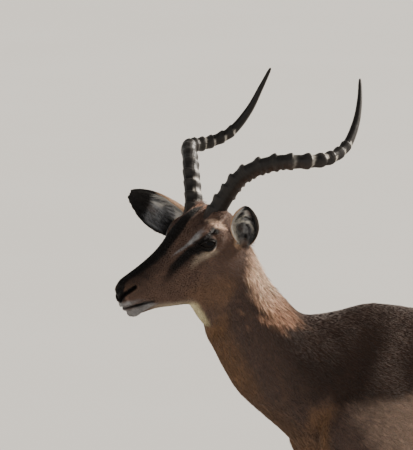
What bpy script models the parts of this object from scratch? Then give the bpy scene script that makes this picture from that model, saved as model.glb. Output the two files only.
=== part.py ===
"""A black-faced impala ram, life size, standing with its head turned a little to its left.

Forward is -X, the animal's left is -Y, up is +Z and the hooves stand on z = 0. All lengths are metres.
The animal is shaped straight and even-sided first, with x measured back from the withers. It is then
parted, and the neck and all that it carries are turned to the left in one smooth bend.
"""

import math

import bmesh
import bpy
import numpy as np
from mathutils import Euler, Matrix, Vector

# Driving dimensions
GAP = 0.0004  # between pieces that meet
CENTRE = (0.1330, -0.0149)  # middle of the finished animal, from the withers, moved to x = y = 0
CROWN = (-0.303, 1.092)  # x and z of the point between the horns' roots
FACE_SLOPE = math.radians(38.7)  # how far the face line drops below level
HEAD_TURN = math.radians(18)  # to the left
BEND_FRONT, BEND_BACK = -0.255, -0.05  # x where the neck's bend ends and starts
FLESH_VOXEL = 0.0042
FLESH_TRIANGLES = 4100
CORONET = 0.047  # height of the hooves' upper edge

# Sections of the body: x and z of the upper outline, x and z of the lower outline, half width,
# height of the widest place as a share, and how square the upper and lower halves are (2 is round).
# Head and nape, measured forward and down from the crown:
HEAD_SECTIONS = (
    (0.1705, 0.1235, 0.1735, 0.1385, 0.0080, 0.50, 2.0, 2.0),
    (0.1692, 0.1185, 0.1715, 0.1505, 0.0150, 0.54, 2.2, 2.0),
    (0.1650, 0.1135, 0.1650, 0.1620, 0.0195, 0.58, 2.4, 2.1),
    (0.1570, 0.1080, 0.1520, 0.1710, 0.0215, 0.58, 2.4, 2.1),
    (0.1430, 0.0995, 0.1310, 0.1745, 0.0222, 0.54, 2.3, 2.0),
    (0.1240, 0.0875, 0.1140, 0.1710, 0.0228, 0.50, 2.2, 1.9),
    (0.1040, 0.0735, 0.0950, 0.1680, 0.0250, 0.46, 2.2, 1.8),
    (0.0860, 0.0590, 0.0770, 0.1670, 0.0290, 0.46, 2.2, 1.8),
    (0.0680, 0.0420, 0.0580, 0.1665, 0.0345, 0.52, 2.3, 1.8),
    (0.0500, 0.0250, 0.0400, 0.1660, 0.0390, 0.58, 2.5, 1.8),
    (0.0270, 0.0070, 0.0260, 0.1680, 0.0410, 0.62, 2.6, 1.9),
    (0.0020, -0.003, 0.0180, 0.1780, 0.0430, 0.60, 2.5, 1.9),
    (-0.024, -0.003, 0.0110, 0.1890, 0.0460, 0.56, 2.3, 1.9),
    (-0.048, 0.008, 0.0030, 0.2000, 0.0500, 0.54, 2.1, 1.8),
    (-0.072, 0.030, -0.006, 0.2090, 0.0520, 0.52, 1.9, 1.8),
)
# Neck and trunk, measured back from the withers and up from the ground:
BODY_SECTIONS = (
    (-0.208, 1.024, -0.293, 0.866, 0.054, 0.50, 1.8, 1.8),
    (-0.177, 0.969, -0.281, 0.846, 0.056, 0.50, 1.8, 1.8),
    (-0.143, 0.934, -0.256, 0.806, 0.059, 0.50, 1.8, 1.9),
    (-0.106, 0.901, -0.226, 0.764, 0.064, 0.50, 1.8, 1.9),
    (-0.077, 0.901, -0.183, 0.726, 0.071, 0.48, 1.8, 1.9),
    (-0.050, 0.904, -0.138, 0.687, 0.080, 0.46, 1.7, 1.8),
    (-0.020, 0.911, -0.098, 0.641, 0.088, 0.44, 1.6, 1.8),
    (0.010, 0.917, -0.080, 0.590, 0.098, 0.44, 1.6, 1.9),
    (0.050, 0.914, -0.030, 0.565, 0.106, 0.44, 1.6, 1.9),
    (0.100, 0.905, 0.040, 0.550, 0.115, 0.45, 1.7, 1.9),
    (0.170, 0.893, 0.130, 0.543, 0.126, 0.46, 1.8, 2.0),
    (0.250, 0.886, 0.230, 0.545, 0.134, 0.46, 1.9, 2.0),
    (0.330, 0.888, 0.330, 0.558, 0.135, 0.46, 1.9, 2.1),
    (0.410, 0.900, 0.420, 0.585, 0.127, 0.48, 1.9, 2.1),
    (0.480, 0.911, 0.490, 0.616, 0.116, 0.54, 1.9, 2.0),
    (0.540, 0.912, 0.550, 0.640, 0.106, 0.60, 1.9, 2.0),
    (0.600, 0.898, 0.610, 0.665, 0.094, 0.60, 2.0, 2.0),
    (0.645, 0.872, 0.655, 0.690, 0.078, 0.56, 2.0, 2.0),
    (0.674, 0.840, 0.684, 0.720, 0.060, 0.50, 2.0, 2.0),
    (0.690, 0.806, 0.694, 0.760, 0.028, 0.50, 2.0, 2.0),
)
# Legs: x and z of the front outline, x and z of the rear outline, distance out from the middle, half width.
FORELEG_SECTIONS = (
    (-0.020, 0.850, 0.065, 0.850, 0.066, 0.020),
    (-0.075, 0.765, 0.095, 0.775, 0.080, 0.030),
    (-0.108, 0.695, 0.112, 0.700, 0.084, 0.037),
    (-0.096, 0.640, 0.104, 0.638, 0.084, 0.038),
    (-0.064, 0.582, 0.082, 0.588, 0.080, 0.033),
    (-0.040, 0.530, 0.048, 0.530, 0.075, 0.0265),
    (-0.032, 0.470, 0.029, 0.470, 0.072, 0.0215),
    (-0.027, 0.400, 0.018, 0.400, 0.070, 0.0170),
    (-0.026, 0.355, 0.015, 0.355, 0.069, 0.0162),
    (-0.028, 0.325, 0.018, 0.325, 0.069, 0.0190),
    (-0.023, 0.292, 0.012, 0.292, 0.069, 0.0160),
    (-0.018, 0.245, 0.010, 0.245, 0.068, 0.0122),
    (-0.017, 0.180, 0.010, 0.180, 0.068, 0.0112),
    (-0.018, 0.135, 0.012, 0.135, 0.068, 0.0122),
    (-0.021, 0.105, 0.017, 0.103, 0.068, 0.0162),
    (-0.027, 0.075, 0.010, 0.072, 0.068, 0.0145),
    (-0.036, 0.048, 0.011, 0.046, 0.068, 0.0190),
    (-0.038, 0.036, 0.012, 0.034, 0.068, 0.0190),
)
HINDLEG_SECTIONS = (
    (0.470, 0.870, 0.615, 0.862, 0.055, 0.030),
    (0.440, 0.785, 0.678, 0.805, 0.070, 0.042),
    (0.424, 0.705, 0.704, 0.738, 0.077, 0.045),
    (0.414, 0.640, 0.692, 0.668, 0.079, 0.043),
    (0.424, 0.585, 0.668, 0.605, 0.078, 0.038),
    (0.470, 0.528, 0.652, 0.558, 0.076, 0.031),
    (0.540, 0.468, 0.638, 0.520, 0.074, 0.0245),
    (0.596, 0.424, 0.660, 0.460, 0.073, 0.0200),
    (0.636, 0.394, 0.698, 0.424, 0.073, 0.0172),
    (0.654, 0.366, 0.722, 0.398, 0.073, 0.0182),
    (0.657, 0.334, 0.710, 0.342, 0.073, 0.0180),
    (0.656, 0.298, 0.694, 0.300, 0.073, 0.0145),
    (0.650, 0.248, 0.680, 0.248, 0.072, 0.0122),
    (0.643, 0.182, 0.672, 0.182, 0.072, 0.0118),
    (0.637, 0.140, 0.672, 0.140, 0.072, 0.0128),
    (0.631, 0.108, 0.670, 0.106, 0.072, 0.0162),
    (0.622, 0.077, 0.657, 0.073, 0.072, 0.0145),
    (0.610, 0.048, 0.656, 0.046, 0.072, 0.0190),
    (0.608, 0.036, 0.657, 0.034, 0.072, 0.0190),
)
STEP_TOP = {"fore": 0.56, "hind": 0.46}  # height above which a leg takes no part in the stride
STRIDE = {  # how far back each foot stands from its straight place
    ("fore", -1): 0.028,
    ("fore", 1): -0.030,
    ("hind", -1): -0.046,
    ("hind", 1): 0.030,
}
TAIL_SECTIONS = (  # as the legs', front outline then rear
    (0.628, 0.840, 0.642, 0.864, 0.0, 0.013),
    (0.662, 0.822, 0.684, 0.848, 0.0, 0.019),
    (0.682, 0.785, 0.712, 0.800, 0.0, 0.022),
    (0.694, 0.735, 0.724, 0.740, 0.0, 0.024),
    (0.699, 0.680, 0.729, 0.681, 0.0, 0.026),
    (0.700, 0.625, 0.729, 0.624, 0.0, 0.025),
    (0.702, 0.580, 0.726, 0.577, 0.0, 0.018),
    (0.706, 0.547, 0.719, 0.545, 0.0, 0.009),
    (0.710, 0.532, 0.715, 0.531, 0.0, 0.003),
)
# Rounded masses of the head: forward, out and up from the crown along the face, then their three radii.
HEAD_MASSES = (
    (0.042, 0.034, -0.0125, 0.034, 0.022, 0.015),  # brow
    (0.024, 0.038, -0.036, 0.017, 0.013, 0.022),  # rear rim of the eye socket
    (0.074, 0.027, -0.052, 0.042, 0.014, 0.015),  # cheek bone
    (0.036, 0.032, -0.085, 0.040, 0.015, 0.036),  # chewing muscle
    (0.198, 0.011, -0.009, 0.017, 0.012, 0.011),  # nostril wing
    (0.203, 0.009, -0.030, 0.017, 0.013, 0.012),  # upper lip
    (0.2145, 0.005, -0.0435, 0.014, 0.012, 0.009),  # chin
    (0.002, 0.033, -0.009, 0.023, 0.021, 0.017),  # horn root
    (-0.008, 0.034, -0.078, 0.022, 0.015, 0.024),  # ear root
)
EYE = (0.048, 0.0345, -0.034)  # forward, out and up of the eyeball's middle
EYE_RADII = (0.0165, 0.0165, 0.0155)

# Horns: out, back and up from the crown, base to tip
HORN_LINE = (
    (0.026, -0.004, -0.024),
    (0.036, 0.005, -0.001),
    (0.055, 0.015, 0.029),
    (0.080, 0.028, 0.059),
    (0.109, 0.045, 0.0755),
    (0.139, 0.062, 0.084),
    (0.163, 0.081, 0.086),
    (0.177, 0.107, 0.0868),
    (0.180, 0.139, 0.0910),
    (0.173, 0.172, 0.105),
    (0.161, 0.203, 0.142),
    (0.148, 0.221, 0.184),
    (0.134, 0.2315, 0.218),
)
HORN_RADIUS = (  # share of the length and metres
    (0.0, 0.0163), (0.10, 0.0144), (0.17, 0.0137), (0.36, 0.0126), (0.50, 0.0107), (0.57, 0.0097),
    (0.70, 0.0082), (0.79, 0.0070), (0.86, 0.0056), (0.93, 0.0042), (1.0, 0.0020),
)
HORN_LENGTH_MM = 430  # in which the crests' places are given
HORN_CRESTS = (24, 45, 68, 88, 110, 138, 167, 194, 221, 244, 263, 285, 304)
HORN_RIDGE = 0.0040
HORN_CREST_TURN = 0.84 * math.pi  # from the outer side by way of the front to where the crests are highest

# Ears: root forward, out and up from the crown; then where the tip lies from the root and which way the
# opening faces, both as out, forward and up in the straight head; half width round the curve at the widest,
# and the half angle of the arc in degrees at the root with what it loses to the tip. The left ear is held
# more closed than the right.
EAR_ROOT = (-0.008, 0.045, -0.081)
EAR_POSE = {
    -1: {"tip": (0.114, 0.076, 0.074), "faces": (0.30, 0.48, -0.91), "half": 0.0425, "wrap": (165, 80)},
    1: {"tip": (0.110, 0.106, 0.073), "faces": (-0.38, 0.88, -0.22), "half": 0.0500, "wrap": (150, 95)},
}
EAR_WALL = 0.0032

HOOF_LENGTH, HOOF_WIDTH, HOOF_CLEFT = 0.056, 0.0195, 0.0036

COLOURS = {  # base colour and roughness
    "coat": ((0.30, 0.165, 0.095), 0.75),
    "pale coat": ((0.55, 0.43, 0.32), 0.75),
    "horn": ((0.045, 0.038, 0.034), 0.45),
    "hoof": ((0.035, 0.030, 0.028), 0.4),
    "eye": ((0.012, 0.008, 0.006), 0.08),
}


def clear_scene():
    for obj in list(bpy.data.objects):
        bpy.data.objects.remove(obj)


def make_collection(name):
    collection = bpy.data.collections.new(name)
    bpy.context.scene.collection.children.link(collection)
    return collection


def make_material(name):
    colour, roughness = COLOURS[name]
    material = bpy.data.materials.new(name)
    material.use_nodes = True
    shader = material.node_tree.nodes["Principled BSDF"]
    shader.inputs["Base Color"].default_value = (*colour, 1)
    shader.inputs["Roughness"].default_value = roughness
    return material


def unit(vector):
    vector = np.asarray(vector, float)
    return vector / np.linalg.norm(vector)


def along_face(forward, out, up):
    """A point of the straight head, from distances along, out of and square to the face line."""
    cos, sin = math.cos(FACE_SLOPE), math.sin(FACE_SLOPE)
    return np.array((CROWN[0] - forward * cos - up * sin, out, CROWN[1] - forward * sin + up * cos))


def turn_neck(points, rigid=False):
    """Bends straight points to the left, their sections turning from BEND_BACK on to BEND_FRONT.
    What is rigid is carried by the head without bending."""
    points = np.asarray(points, float)
    x = np.linspace(-0.65, 1.0, 1651)
    share = np.clip((BEND_BACK - x) / (BEND_BACK - BEND_FRONT), 0, 1)
    turn = HEAD_TURN * share * share * (3 - 2 * share)
    line_x = np.cumsum(np.cos(turn)) * (x[1] - x[0])
    line_y = np.cumsum(np.sin(turn)) * (x[1] - x[0])
    line_x += x[-1] - line_x[-1]
    line_y -= line_y[-1]
    ahead = np.full(len(points), CROWN[0]) if rigid else points[:, 0]
    at = np.interp(ahead, x, turn)
    past, side = points[:, 0] - ahead, points[:, 1]
    new_x = np.interp(ahead, x, line_x) + past * np.cos(at) - side * np.sin(at)
    new_y = np.interp(ahead, x, line_y) + past * np.sin(at) + side * np.cos(at)
    return np.stack((new_x, new_y, points[:, 2]), axis=1)


def bend_mesh(data, rigid=False):
    points = np.array([v.co for v in data.vertices])
    data.vertices.foreach_set("co", turn_neck(points, rigid).astype(np.float32).ravel())
    return data


def smooth_rows(rows, count):
    """count rows on a smooth curve through the given ones, evenly spaced along the line of their middles."""
    rows = np.array(rows, float)
    middle = (rows[:, 0:2] + rows[:, 2:4]) / 2
    place = np.concatenate(([0], np.cumsum(np.linalg.norm(np.diff(middle, axis=0), axis=1) + 1e-4)))
    slope = np.gradient(rows, place, axis=0)
    want = np.linspace(0, place[-1], count)
    i = np.clip(np.searchsorted(place, want, side="right") - 1, 0, len(place) - 2)
    span = (place[i + 1] - place[i])[:, None]
    t = (want - place[i])[:, None] / span
    return (
        (2 * t**3 - 3 * t**2 + 1) * rows[i]
        + (t**3 - 2 * t**2 + t) * span * slope[i]
        + (3 * t**2 - 2 * t**3) * rows[i + 1]
        + (t**3 - t**2) * span * slope[i + 1]
    )


def section_rings(rows, sides):
    """Closed rings of a loft. A row is two outline points in the side view, the ring's distance out,
    half width, widest share and the two squarenesses."""
    first, second, out, half, widest, upper, lower = (
        rows[:, 0:2], rows[:, 2:4], rows[:, 4], rows[:, 5], rows[:, 6], rows[:, 7], rows[:, 8]
    )
    angle = np.linspace(0, 2 * math.pi, sides, endpoint=False)[None, :]
    cos, sin = np.cos(angle), np.sin(angle)
    power = 2 / np.where(sin >= 0, upper[:, None], lower[:, None])
    side = np.sign(cos) * np.abs(cos) ** power * half[:, None]
    rise = np.abs(sin) ** power
    height = np.where(sin >= 0, widest[:, None] + (1 - widest[:, None]) * rise, widest[:, None] * (1 - rise))
    place = second[:, None, :] + (first - second)[:, None, :] * height[:, :, None]
    return np.stack((place[:, :, 0], out[:, None] + side, place[:, :, 1]), axis=2)


def loft(mesh, rings):
    """Adds a closed loft through rings of equal size to a bmesh."""
    made = [[mesh.verts.new(point) for point in ring] for ring in rings]
    sides = len(made[0])
    for a, b in zip(made, made[1:]):
        for i in range(sides):
            mesh.faces.new((a[i], a[(i + 1) % sides], b[(i + 1) % sides], b[i]))
    mesh.faces.new(made[0][::-1])
    mesh.faces.new(made[-1])


def finish_mesh(mesh, name):
    bmesh.ops.recalc_face_normals(mesh, faces=mesh.faces)
    data = bpy.data.meshes.new(name)
    mesh.to_mesh(data)
    mesh.free()
    return data


def body_rows():
    head = [
        (CROWN[0] - a, CROWN[1] - b, CROWN[0] - c, CROWN[1] - d, 0.0, *rest)
        for a, b, c, d, *rest in HEAD_SECTIONS
    ]
    trunk = [(*row[:4], 0.0, *row[4:]) for row in BODY_SECTIONS]
    return head + trunk


def leg_rows(sections, kind, side):
    """Rows of one leg, with its foot moved by its stride."""
    rows = []
    for front_x, front_z, rear_x, rear_z, out, half in sections:
        drop = max(0.0, 1 - (front_z + rear_z) / 2 / STEP_TOP[kind])
        back = STRIDE[(kind, side)] * drop
        rows.append((front_x + back, front_z, rear_x + back, rear_z, side * out, half, 0.5, 2.0, 2.0))
    return rows


def add_ball(mesh, middle, radii, tilt):
    placed = Matrix.LocRotScale(Vector(middle), tilt, Vector(radii))
    bmesh.ops.create_uvsphere(mesh, u_segments=14, v_segments=8, radius=1, matrix=placed)


def make_flesh(helpers):
    """The whole straight animal but its ears and tail, as one closed mesh."""
    mesh = bmesh.new()
    loft(mesh, section_rings(smooth_rows(body_rows(), 110), 40))
    for side in (-1, 1):
        loft(mesh, section_rings(smooth_rows(leg_rows(FORELEG_SECTIONS, "fore", side), 60), 20))
        loft(mesh, section_rings(smooth_rows(leg_rows(HINDLEG_SECTIONS, "hind", side), 64), 20))
        for forward, out, up, *radii in HEAD_MASSES:
            middle = along_face(forward, side * out, up)
            add_ball(mesh, middle, radii, Euler((0, -FACE_SLOPE, 0)))
    flesh = bpy.data.objects.new("flesh", finish_mesh(mesh, "flesh"))
    helpers.objects.link(flesh)
    remesh = flesh.modifiers.new("join", "REMESH")
    remesh.mode = "VOXEL"
    remesh.voxel_size = FLESH_VOXEL
    relax = flesh.modifiers.new("relax", "SMOOTH")
    relax.iterations = 5
    full = applied(flesh)
    fewer = flesh.modifiers.new("fewer", "DECIMATE")
    fewer.ratio = FLESH_TRIANGLES / (2 * len(full.polygons))
    flesh.data = applied(flesh)
    flesh.modifiers.clear()
    bend_mesh(flesh.data)
    hide_helper(flesh)
    return flesh


def applied(obj):
    """The object's mesh with its modifiers applied."""
    graph = bpy.context.evaluated_depsgraph_get()
    return bpy.data.meshes.new_from_object(obj.evaluated_get(graph))


def boolean(obj, operation, other):
    modifier = obj.modifiers.new(operation.lower(), "BOOLEAN")
    modifier.operation = operation
    modifier.object = other
    modifier.solver = "EXACT"


def hide_helper(obj):
    obj.hide_render = True
    obj.display_type = "WIRE"


def prism(helpers, name, outline, x_low, x_high, lean=0.0, grow=0.0):
    """A cutter: an outline of y and z points drawn out along x, whose ends lean back by a share of height."""
    middle = np.mean(outline, axis=0)
    mesh = bmesh.new()
    rings = []
    for x, way in ((x_low, -1), (x_high, 1)):
        ring = []
        for y, z in outline:
            off = np.sign((y, z) - middle) * grow
            ring.append((x + way * grow + lean * (z - outline[0][1]), y + off[0], z + off[1]))
        rings.append(ring)
    loft(mesh, rings)
    cutter = bpy.data.objects.new(name, finish_mesh(mesh, name))
    helpers.objects.link(cutter)
    hide_helper(cutter)
    return cutter


FAR = 0.6
FORELEG_REGION = ((0.006, -0.05), (0.006, 0.50), (0.046, 0.548), (0.108, 0.80), (FAR, 0.80), (FAR, -0.05))
HINDLEG_REGION = ((0.006, -0.05), (0.006, 0.55), (0.034, 0.640), (0.092, 0.885), (FAR, 0.885), (FAR, -0.05))


def leg_region(helpers, kind, side, grow):
    outline, low, high, lean = {
        "fore": (FORELEG_REGION, -0.300, 0.122, 0.0),
        "hind": (HINDLEG_REGION, 0.245, 0.86, 0.22),
    }[kind]
    turned = [(side * y, z) for y, z in outline]
    return prism(helpers, f"{kind}_region", turned, low, high, lean, grow)


def half_space(helpers, name, upper, lower, behind, grow, on_head=False):
    """A cutter holding all that lies on one side of the plane through two points of the side view."""
    along = unit(np.subtract(upper, lower))
    across = np.array((along[1], -along[0])) * (1 if behind else -1)
    reach = 2.0
    start = np.array(lower) - across * grow
    corners = [
        start - along * reach,
        start + along * reach,
        start + along * reach + across * reach,
        start - along * reach + across * reach,
    ]
    mesh = bmesh.new()
    loft(mesh, [[(x, y, z) for x, z in corners] for y in (-1.0, 1.0)])
    data = finish_mesh(mesh, name)
    if on_head:
        bend_mesh(data, rigid=True)
    cutter = bpy.data.objects.new(name, data)
    helpers.objects.link(cutter)
    hide_helper(cutter)
    return cutter


HEAD_CUT = ((-0.226, 1.054), (-0.312, 0.893))
NECK_CUT = ((-0.086, 0.905), (-0.168, 0.688))


def below_coronet(helpers):
    outline = ((-FAR, -0.2), (-FAR, CORONET), (FAR, CORONET), (FAR, -0.2))
    return prism(helpers, "below_coronet", outline, -0.6, 1.2)


def part_flesh(flesh, helpers):
    """Each flesh piece's straight mesh, by name, parted from its neighbours by thin cuts."""
    regions = {
        ("head", "behind"): half_space(helpers, "behind_head", *HEAD_CUT, True, GAP / 2, on_head=True),
        ("neck", "ahead"): half_space(helpers, "ahead_of_neck", *HEAD_CUT, False, GAP / 2, on_head=True),
        ("neck", "behind"): half_space(helpers, "behind_neck", *NECK_CUT, True, GAP / 2),
        ("trunk", "ahead"): half_space(helpers, "ahead_of_trunk", *NECK_CUT, False, GAP / 2),
    }
    feet = below_coronet(helpers)
    pieces = {}

    def part(name, *steps):
        obj = bpy.data.objects.new(name, flesh.data)
        helpers.objects.link(obj)
        for operation, other in steps:
            boolean(obj, operation, other)
        pieces[name] = applied(obj)
        bpy.data.objects.remove(obj)

    body = ("DIFFERENCE", regions[("trunk", "ahead")])
    cuts = [body]
    for kind in ("fore", "hind"):
        for side, word in ((-1, "left"), (1, "right")):
            region = leg_region(helpers, kind, side, -GAP / 2)
            cuts.append(("DIFFERENCE", leg_region(helpers, kind, side, GAP / 2)))
            part(f"{kind}leg_{word}", body, ("INTERSECT", region), ("DIFFERENCE", feet))
    part("trunk", *cuts)
    part("neck", ("DIFFERENCE", regions[("neck", "ahead")]), ("DIFFERENCE", regions[("neck", "behind")]))
    part("head", ("DIFFERENCE", regions[("head", "behind")]))
    return pieces


def grown(obj_data, helpers, name, by):
    """A helper with the given mesh, swollen by a distance."""
    obj = bpy.data.objects.new(name, obj_data)
    helpers.objects.link(obj)
    swell = obj.modifiers.new("swell", "DISPLACE")
    swell.strength = by
    swell.mid_level = 0
    obj.data = applied(obj)
    obj.modifiers.clear()
    hide_helper(obj)
    return obj


def curve_frames(points, reference):
    """Unit vectors along a line of points, and two square to it, the first nearest the reference."""
    ahead = np.gradient(points, axis=0)
    ahead /= np.linalg.norm(ahead, axis=1)[:, None]
    first = np.array(reference)[None, :] - (ahead @ np.array(reference))[:, None] * ahead
    first /= np.linalg.norm(first, axis=1)[:, None]
    return ahead, first, np.cross(ahead, first)


def horn_mesh(side):
    """A lyre-shaped horn, ringed on its front and fading to a smooth tip."""
    line = [(x, z, x, z, y) for y, x, z in HORN_LINE]
    spread = smooth_rows(line, 400)
    points = np.stack((spread[:, 0], side * spread[:, 4], spread[:, 1]), axis=1)
    length = np.concatenate(([0], np.cumsum(np.linalg.norm(np.diff(points, axis=0), axis=1))))
    share = length / length[-1]
    crests = np.array(HORN_CRESTS) / HORN_LENGTH_MM
    hollows = np.concatenate(([crests[0] / 2], (crests[1:] + crests[:-1]) / 2, [crests[-1] + 0.025]))
    ringed = np.sort(np.concatenate((crests, hollows)))
    places = np.concatenate(([0], ringed, np.linspace(ringed[-1], 1, 7)[1:]))
    wave = np.isin(places, crests).astype(float)
    centre = np.stack([np.interp(places, share, points[:, k]) for k in range(3)], axis=1)
    ahead, outer, front = (
        np.stack([np.interp(places, share, v[:, k]) for k in range(3)], axis=1)
        for v in curve_frames(points, (0, side, 0))
    )
    radius = np.interp(places, *zip(*HORN_RADIUS))
    angle = np.linspace(0, 2 * math.pi, 9, endpoint=False)
    fade = np.clip((crests[-1] + 0.10 - places) / 0.25, 0, 1)
    ridge = HORN_RIDGE * wave * fade
    strength = 0.55 + 0.45 * np.cos(angle[None, :] - HORN_CREST_TURN)
    size = radius[:, None] + ridge[:, None] * strength
    rings = (
        centre[:, None, :]
        + outer[:, None, :] * (np.cos(angle)[None, :] * size * 0.90)[:, :, None]
        + front[:, None, :] * side * (np.sin(angle)[None, :] * size * 1.06)[:, :, None]
    )
    rings += np.array((CROWN[0], 0, CROWN[1]))
    mesh = bmesh.new()
    loft(mesh, rings)
    return finish_mesh(mesh, "horn")


def ear_mesh(side):
    """A cupped ear: its section is an arc, nearly closed at the root and opening towards the tip."""
    pose = EAR_POSE[side]
    root = along_face(EAR_ROOT[0], side * EAR_ROOT[1], EAR_ROOT[2])
    axis = np.array((-pose["tip"][1], side * pose["tip"][0], pose["tip"][2]))
    length = np.linalg.norm(axis)
    axis = unit(axis)
    faces = np.array((-pose["faces"][1], side * pose["faces"][0], pose["faces"][2]))
    faces = unit(faces - (faces @ axis) * axis)
    across = np.cross(axis, faces)
    u = np.linspace(0, 1, 10)[:, None]
    v = np.linspace(-1, 1, 9)[None, :]
    half = pose["half"] * np.sin(math.pi * np.clip(u * 0.82 + 0.16, 0, 1) ** 1.25) ** 0.72 + 0.0012
    wrap = np.radians(pose["wrap"][0] - pose["wrap"][1] * u**0.7)
    radius = half / wrap
    point = (
        root
        + axis * (length * u)[..., None]
        + faces * (radius * (1 - np.cos(v * wrap)) - 0.010 * np.sin(math.pi * u))[..., None]
        + across * (radius * np.sin(v * wrap))[..., None]
    )
    mesh = bmesh.new()
    made = [[mesh.verts.new(p) for p in row] for row in point]
    for a, b in zip(made, made[1:]):
        for i in range(len(a) - 1):
            mesh.faces.new((a[i], a[i + 1], b[i + 1], b[i]))
    return finish_mesh(mesh, "ear")


def tail_mesh():
    mesh = bmesh.new()
    rows = [(*row, 0.5, 2.0, 2.0) for row in TAIL_SECTIONS]
    loft(mesh, section_rings(smooth_rows(rows, 13), 10))
    return finish_mesh(mesh, "tail")


def hoof_mesh(toe_x, heel_x, out, outward):
    """One digit's hoof: flat below and on its inner side, sloping up from a narrow toe."""
    mesh = bmesh.new()
    levels = ((0.0, 0.0, 1.0), (0.004, 0.001, 1.03), (0.030, 0.011, 0.98), (CORONET - GAP, 0.0195, 0.90))
    rings = []
    for z, back, wide in levels:
        ring = []
        for i in range(12):
            angle = 2 * math.pi * i / 12
            along = 0.5 - 0.5 * math.cos(angle)
            width = HOOF_WIDTH * wide * min(1.0, (0.42 + 0.75 * along**0.6)) * abs(math.sin(angle)) ** 0.55
            x = toe_x + back + (heel_x - toe_x - back) * along
            ring.append((x, out + (0 if math.sin(angle) > 0 else outward * width), z))
        rings.append(ring)
    loft(mesh, rings)
    return finish_mesh(mesh, "hoof")


def eye_mesh(side, swell=0.0):
    mesh = bmesh.new()
    middle = along_face(EYE[0], side * EYE[1], EYE[2])
    add_ball(mesh, middle, [r + swell for r in EYE_RADII], Euler((0, -FACE_SLOPE, 0)))
    return finish_mesh(mesh, "eye")


def main():
    clear_scene()
    animal = make_collection("impala")
    helpers = make_collection("cutters")
    materials = {name: make_material(name) for name in COLOURS}
    flesh = make_flesh(helpers)
    pieces = {name: (data, "coat") for name, data in part_flesh(flesh, helpers).items()}
    swollen = grown(flesh.data, helpers, "swollen_flesh", GAP)

    def cut_piece(name, data, *others, wall=None):
        obj = bpy.data.objects.new(name, data)
        helpers.objects.link(obj)
        if wall:
            shell = obj.modifiers.new("wall", "SOLIDIFY")
            shell.thickness = wall
            shell.offset = 0
            shell.use_even_offset = True
        for other in others:
            boolean(obj, "DIFFERENCE", other)
        done = applied(obj)
        bpy.data.objects.remove(obj)
        return done

    head = pieces["head"][0]
    for side, word in ((-1, "left"), (1, "right")):
        horn = cut_piece("horn", bend_mesh(horn_mesh(side), rigid=True), swollen)
        pieces[f"horn_{word}"] = (horn, "horn")
        ear = cut_piece("ear", bend_mesh(ear_mesh(side), rigid=True), swollen, wall=EAR_WALL)
        pieces[f"ear_{word}"] = (ear, "coat")
        pieces[f"eye_{word}"] = (bend_mesh(eye_mesh(side), rigid=True), "eye")
        socket = bpy.data.objects.new("socket", bend_mesh(eye_mesh(side, GAP), rigid=True))
        helpers.objects.link(socket)
        hide_helper(socket)
        head = cut_piece("head", head, socket)
    pieces["head"] = (head, "coat")
    pieces["tail"] = (cut_piece("tail", tail_mesh(), swollen), "pale coat")

    for kind, sections in (("fore", FORELEG_SECTIONS), ("hind", HINDLEG_SECTIONS)):
        for side, word in ((-1, "left"), (1, "right")):
            row = leg_rows(sections, kind, side)[-2]
            toe, out = row[0] - 0.012, row[4]
            for outward, place in ((-side, "inner"), (side, "outer")):
                data = hoof_mesh(toe, toe + HOOF_LENGTH, out + outward * HOOF_CLEFT / 2, outward)
                pieces[f"{kind}hoof_{word}_{place}"] = (data, "hoof")

    for name, (data, finish) in pieces.items():
        data.transform(Matrix.Translation((-CENTRE[0], -CENTRE[1], 0)))
        data.name = name
        data.materials.clear()
        data.materials.append(materials[finish])
        data.set_sharp_from_angle(angle=math.radians(40))
        animal.objects.link(bpy.data.objects.new(name, data))


main()
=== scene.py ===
import math

import bmesh
import bpy
import numpy as np
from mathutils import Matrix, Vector


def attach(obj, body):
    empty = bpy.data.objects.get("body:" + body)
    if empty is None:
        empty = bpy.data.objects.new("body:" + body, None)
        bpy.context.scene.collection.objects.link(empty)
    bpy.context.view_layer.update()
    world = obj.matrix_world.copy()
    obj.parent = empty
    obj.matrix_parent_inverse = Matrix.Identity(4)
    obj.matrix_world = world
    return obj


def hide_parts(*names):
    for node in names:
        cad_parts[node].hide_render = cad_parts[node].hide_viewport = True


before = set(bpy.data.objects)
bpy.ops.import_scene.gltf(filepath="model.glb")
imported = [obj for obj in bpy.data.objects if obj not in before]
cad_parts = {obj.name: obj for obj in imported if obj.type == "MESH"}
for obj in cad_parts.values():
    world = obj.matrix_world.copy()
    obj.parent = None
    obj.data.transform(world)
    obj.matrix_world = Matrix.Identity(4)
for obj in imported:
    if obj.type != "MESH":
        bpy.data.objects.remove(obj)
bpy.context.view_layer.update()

# The animal is worked out straight, looking along -x with x = 0 at the withers, left on -y and up on z.
# The neck is bent at the end, and the whole is moved to the middle of the CAD box. Lengths are metres.
place = {
    "middle": (0.133, -0.0149),  # taken off x and y at the end
    "crown": (-0.303, 1.092),  # x and z between the horns' roots
    "faceSlope": math.radians(38.7),  # the face line's drop
    "headTurn": math.radians(18),  # to the left
    "bend": (-0.05, -0.255),  # x where the bend starts and ends
}
faceCos, faceSin = math.cos(place["faceSlope"]), math.sin(place["faceSlope"])
crownX, crownZ = place["crown"]
bothSides = ((-1, "left"), (1, "right"))


# ---- small helpers
def ramp(low, high, value):  # 0 below low, 1 above high, an S curve between; low may be the larger
    t = np.clip((value - low) / (high - low), 0, 1)
    return t * t * (3 - 2 * t)


def unit(vectors):  # each vector divided by its length
    vectors = np.asarray(vectors, float)
    return vectors / np.maximum(np.linalg.norm(vectors, axis=-1, keepdims=True), 1e-12)


def fromFace(forward, out, up):  # distances along, out of and square to the face line, to x, y, z
    forward, out, up = np.broadcast_arrays(forward, out, up)
    x = crownX - forward * faceCos - up * faceSin
    z = crownZ - forward * faceSin + up * faceCos
    return np.stack((x, out, z), axis=-1)


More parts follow.
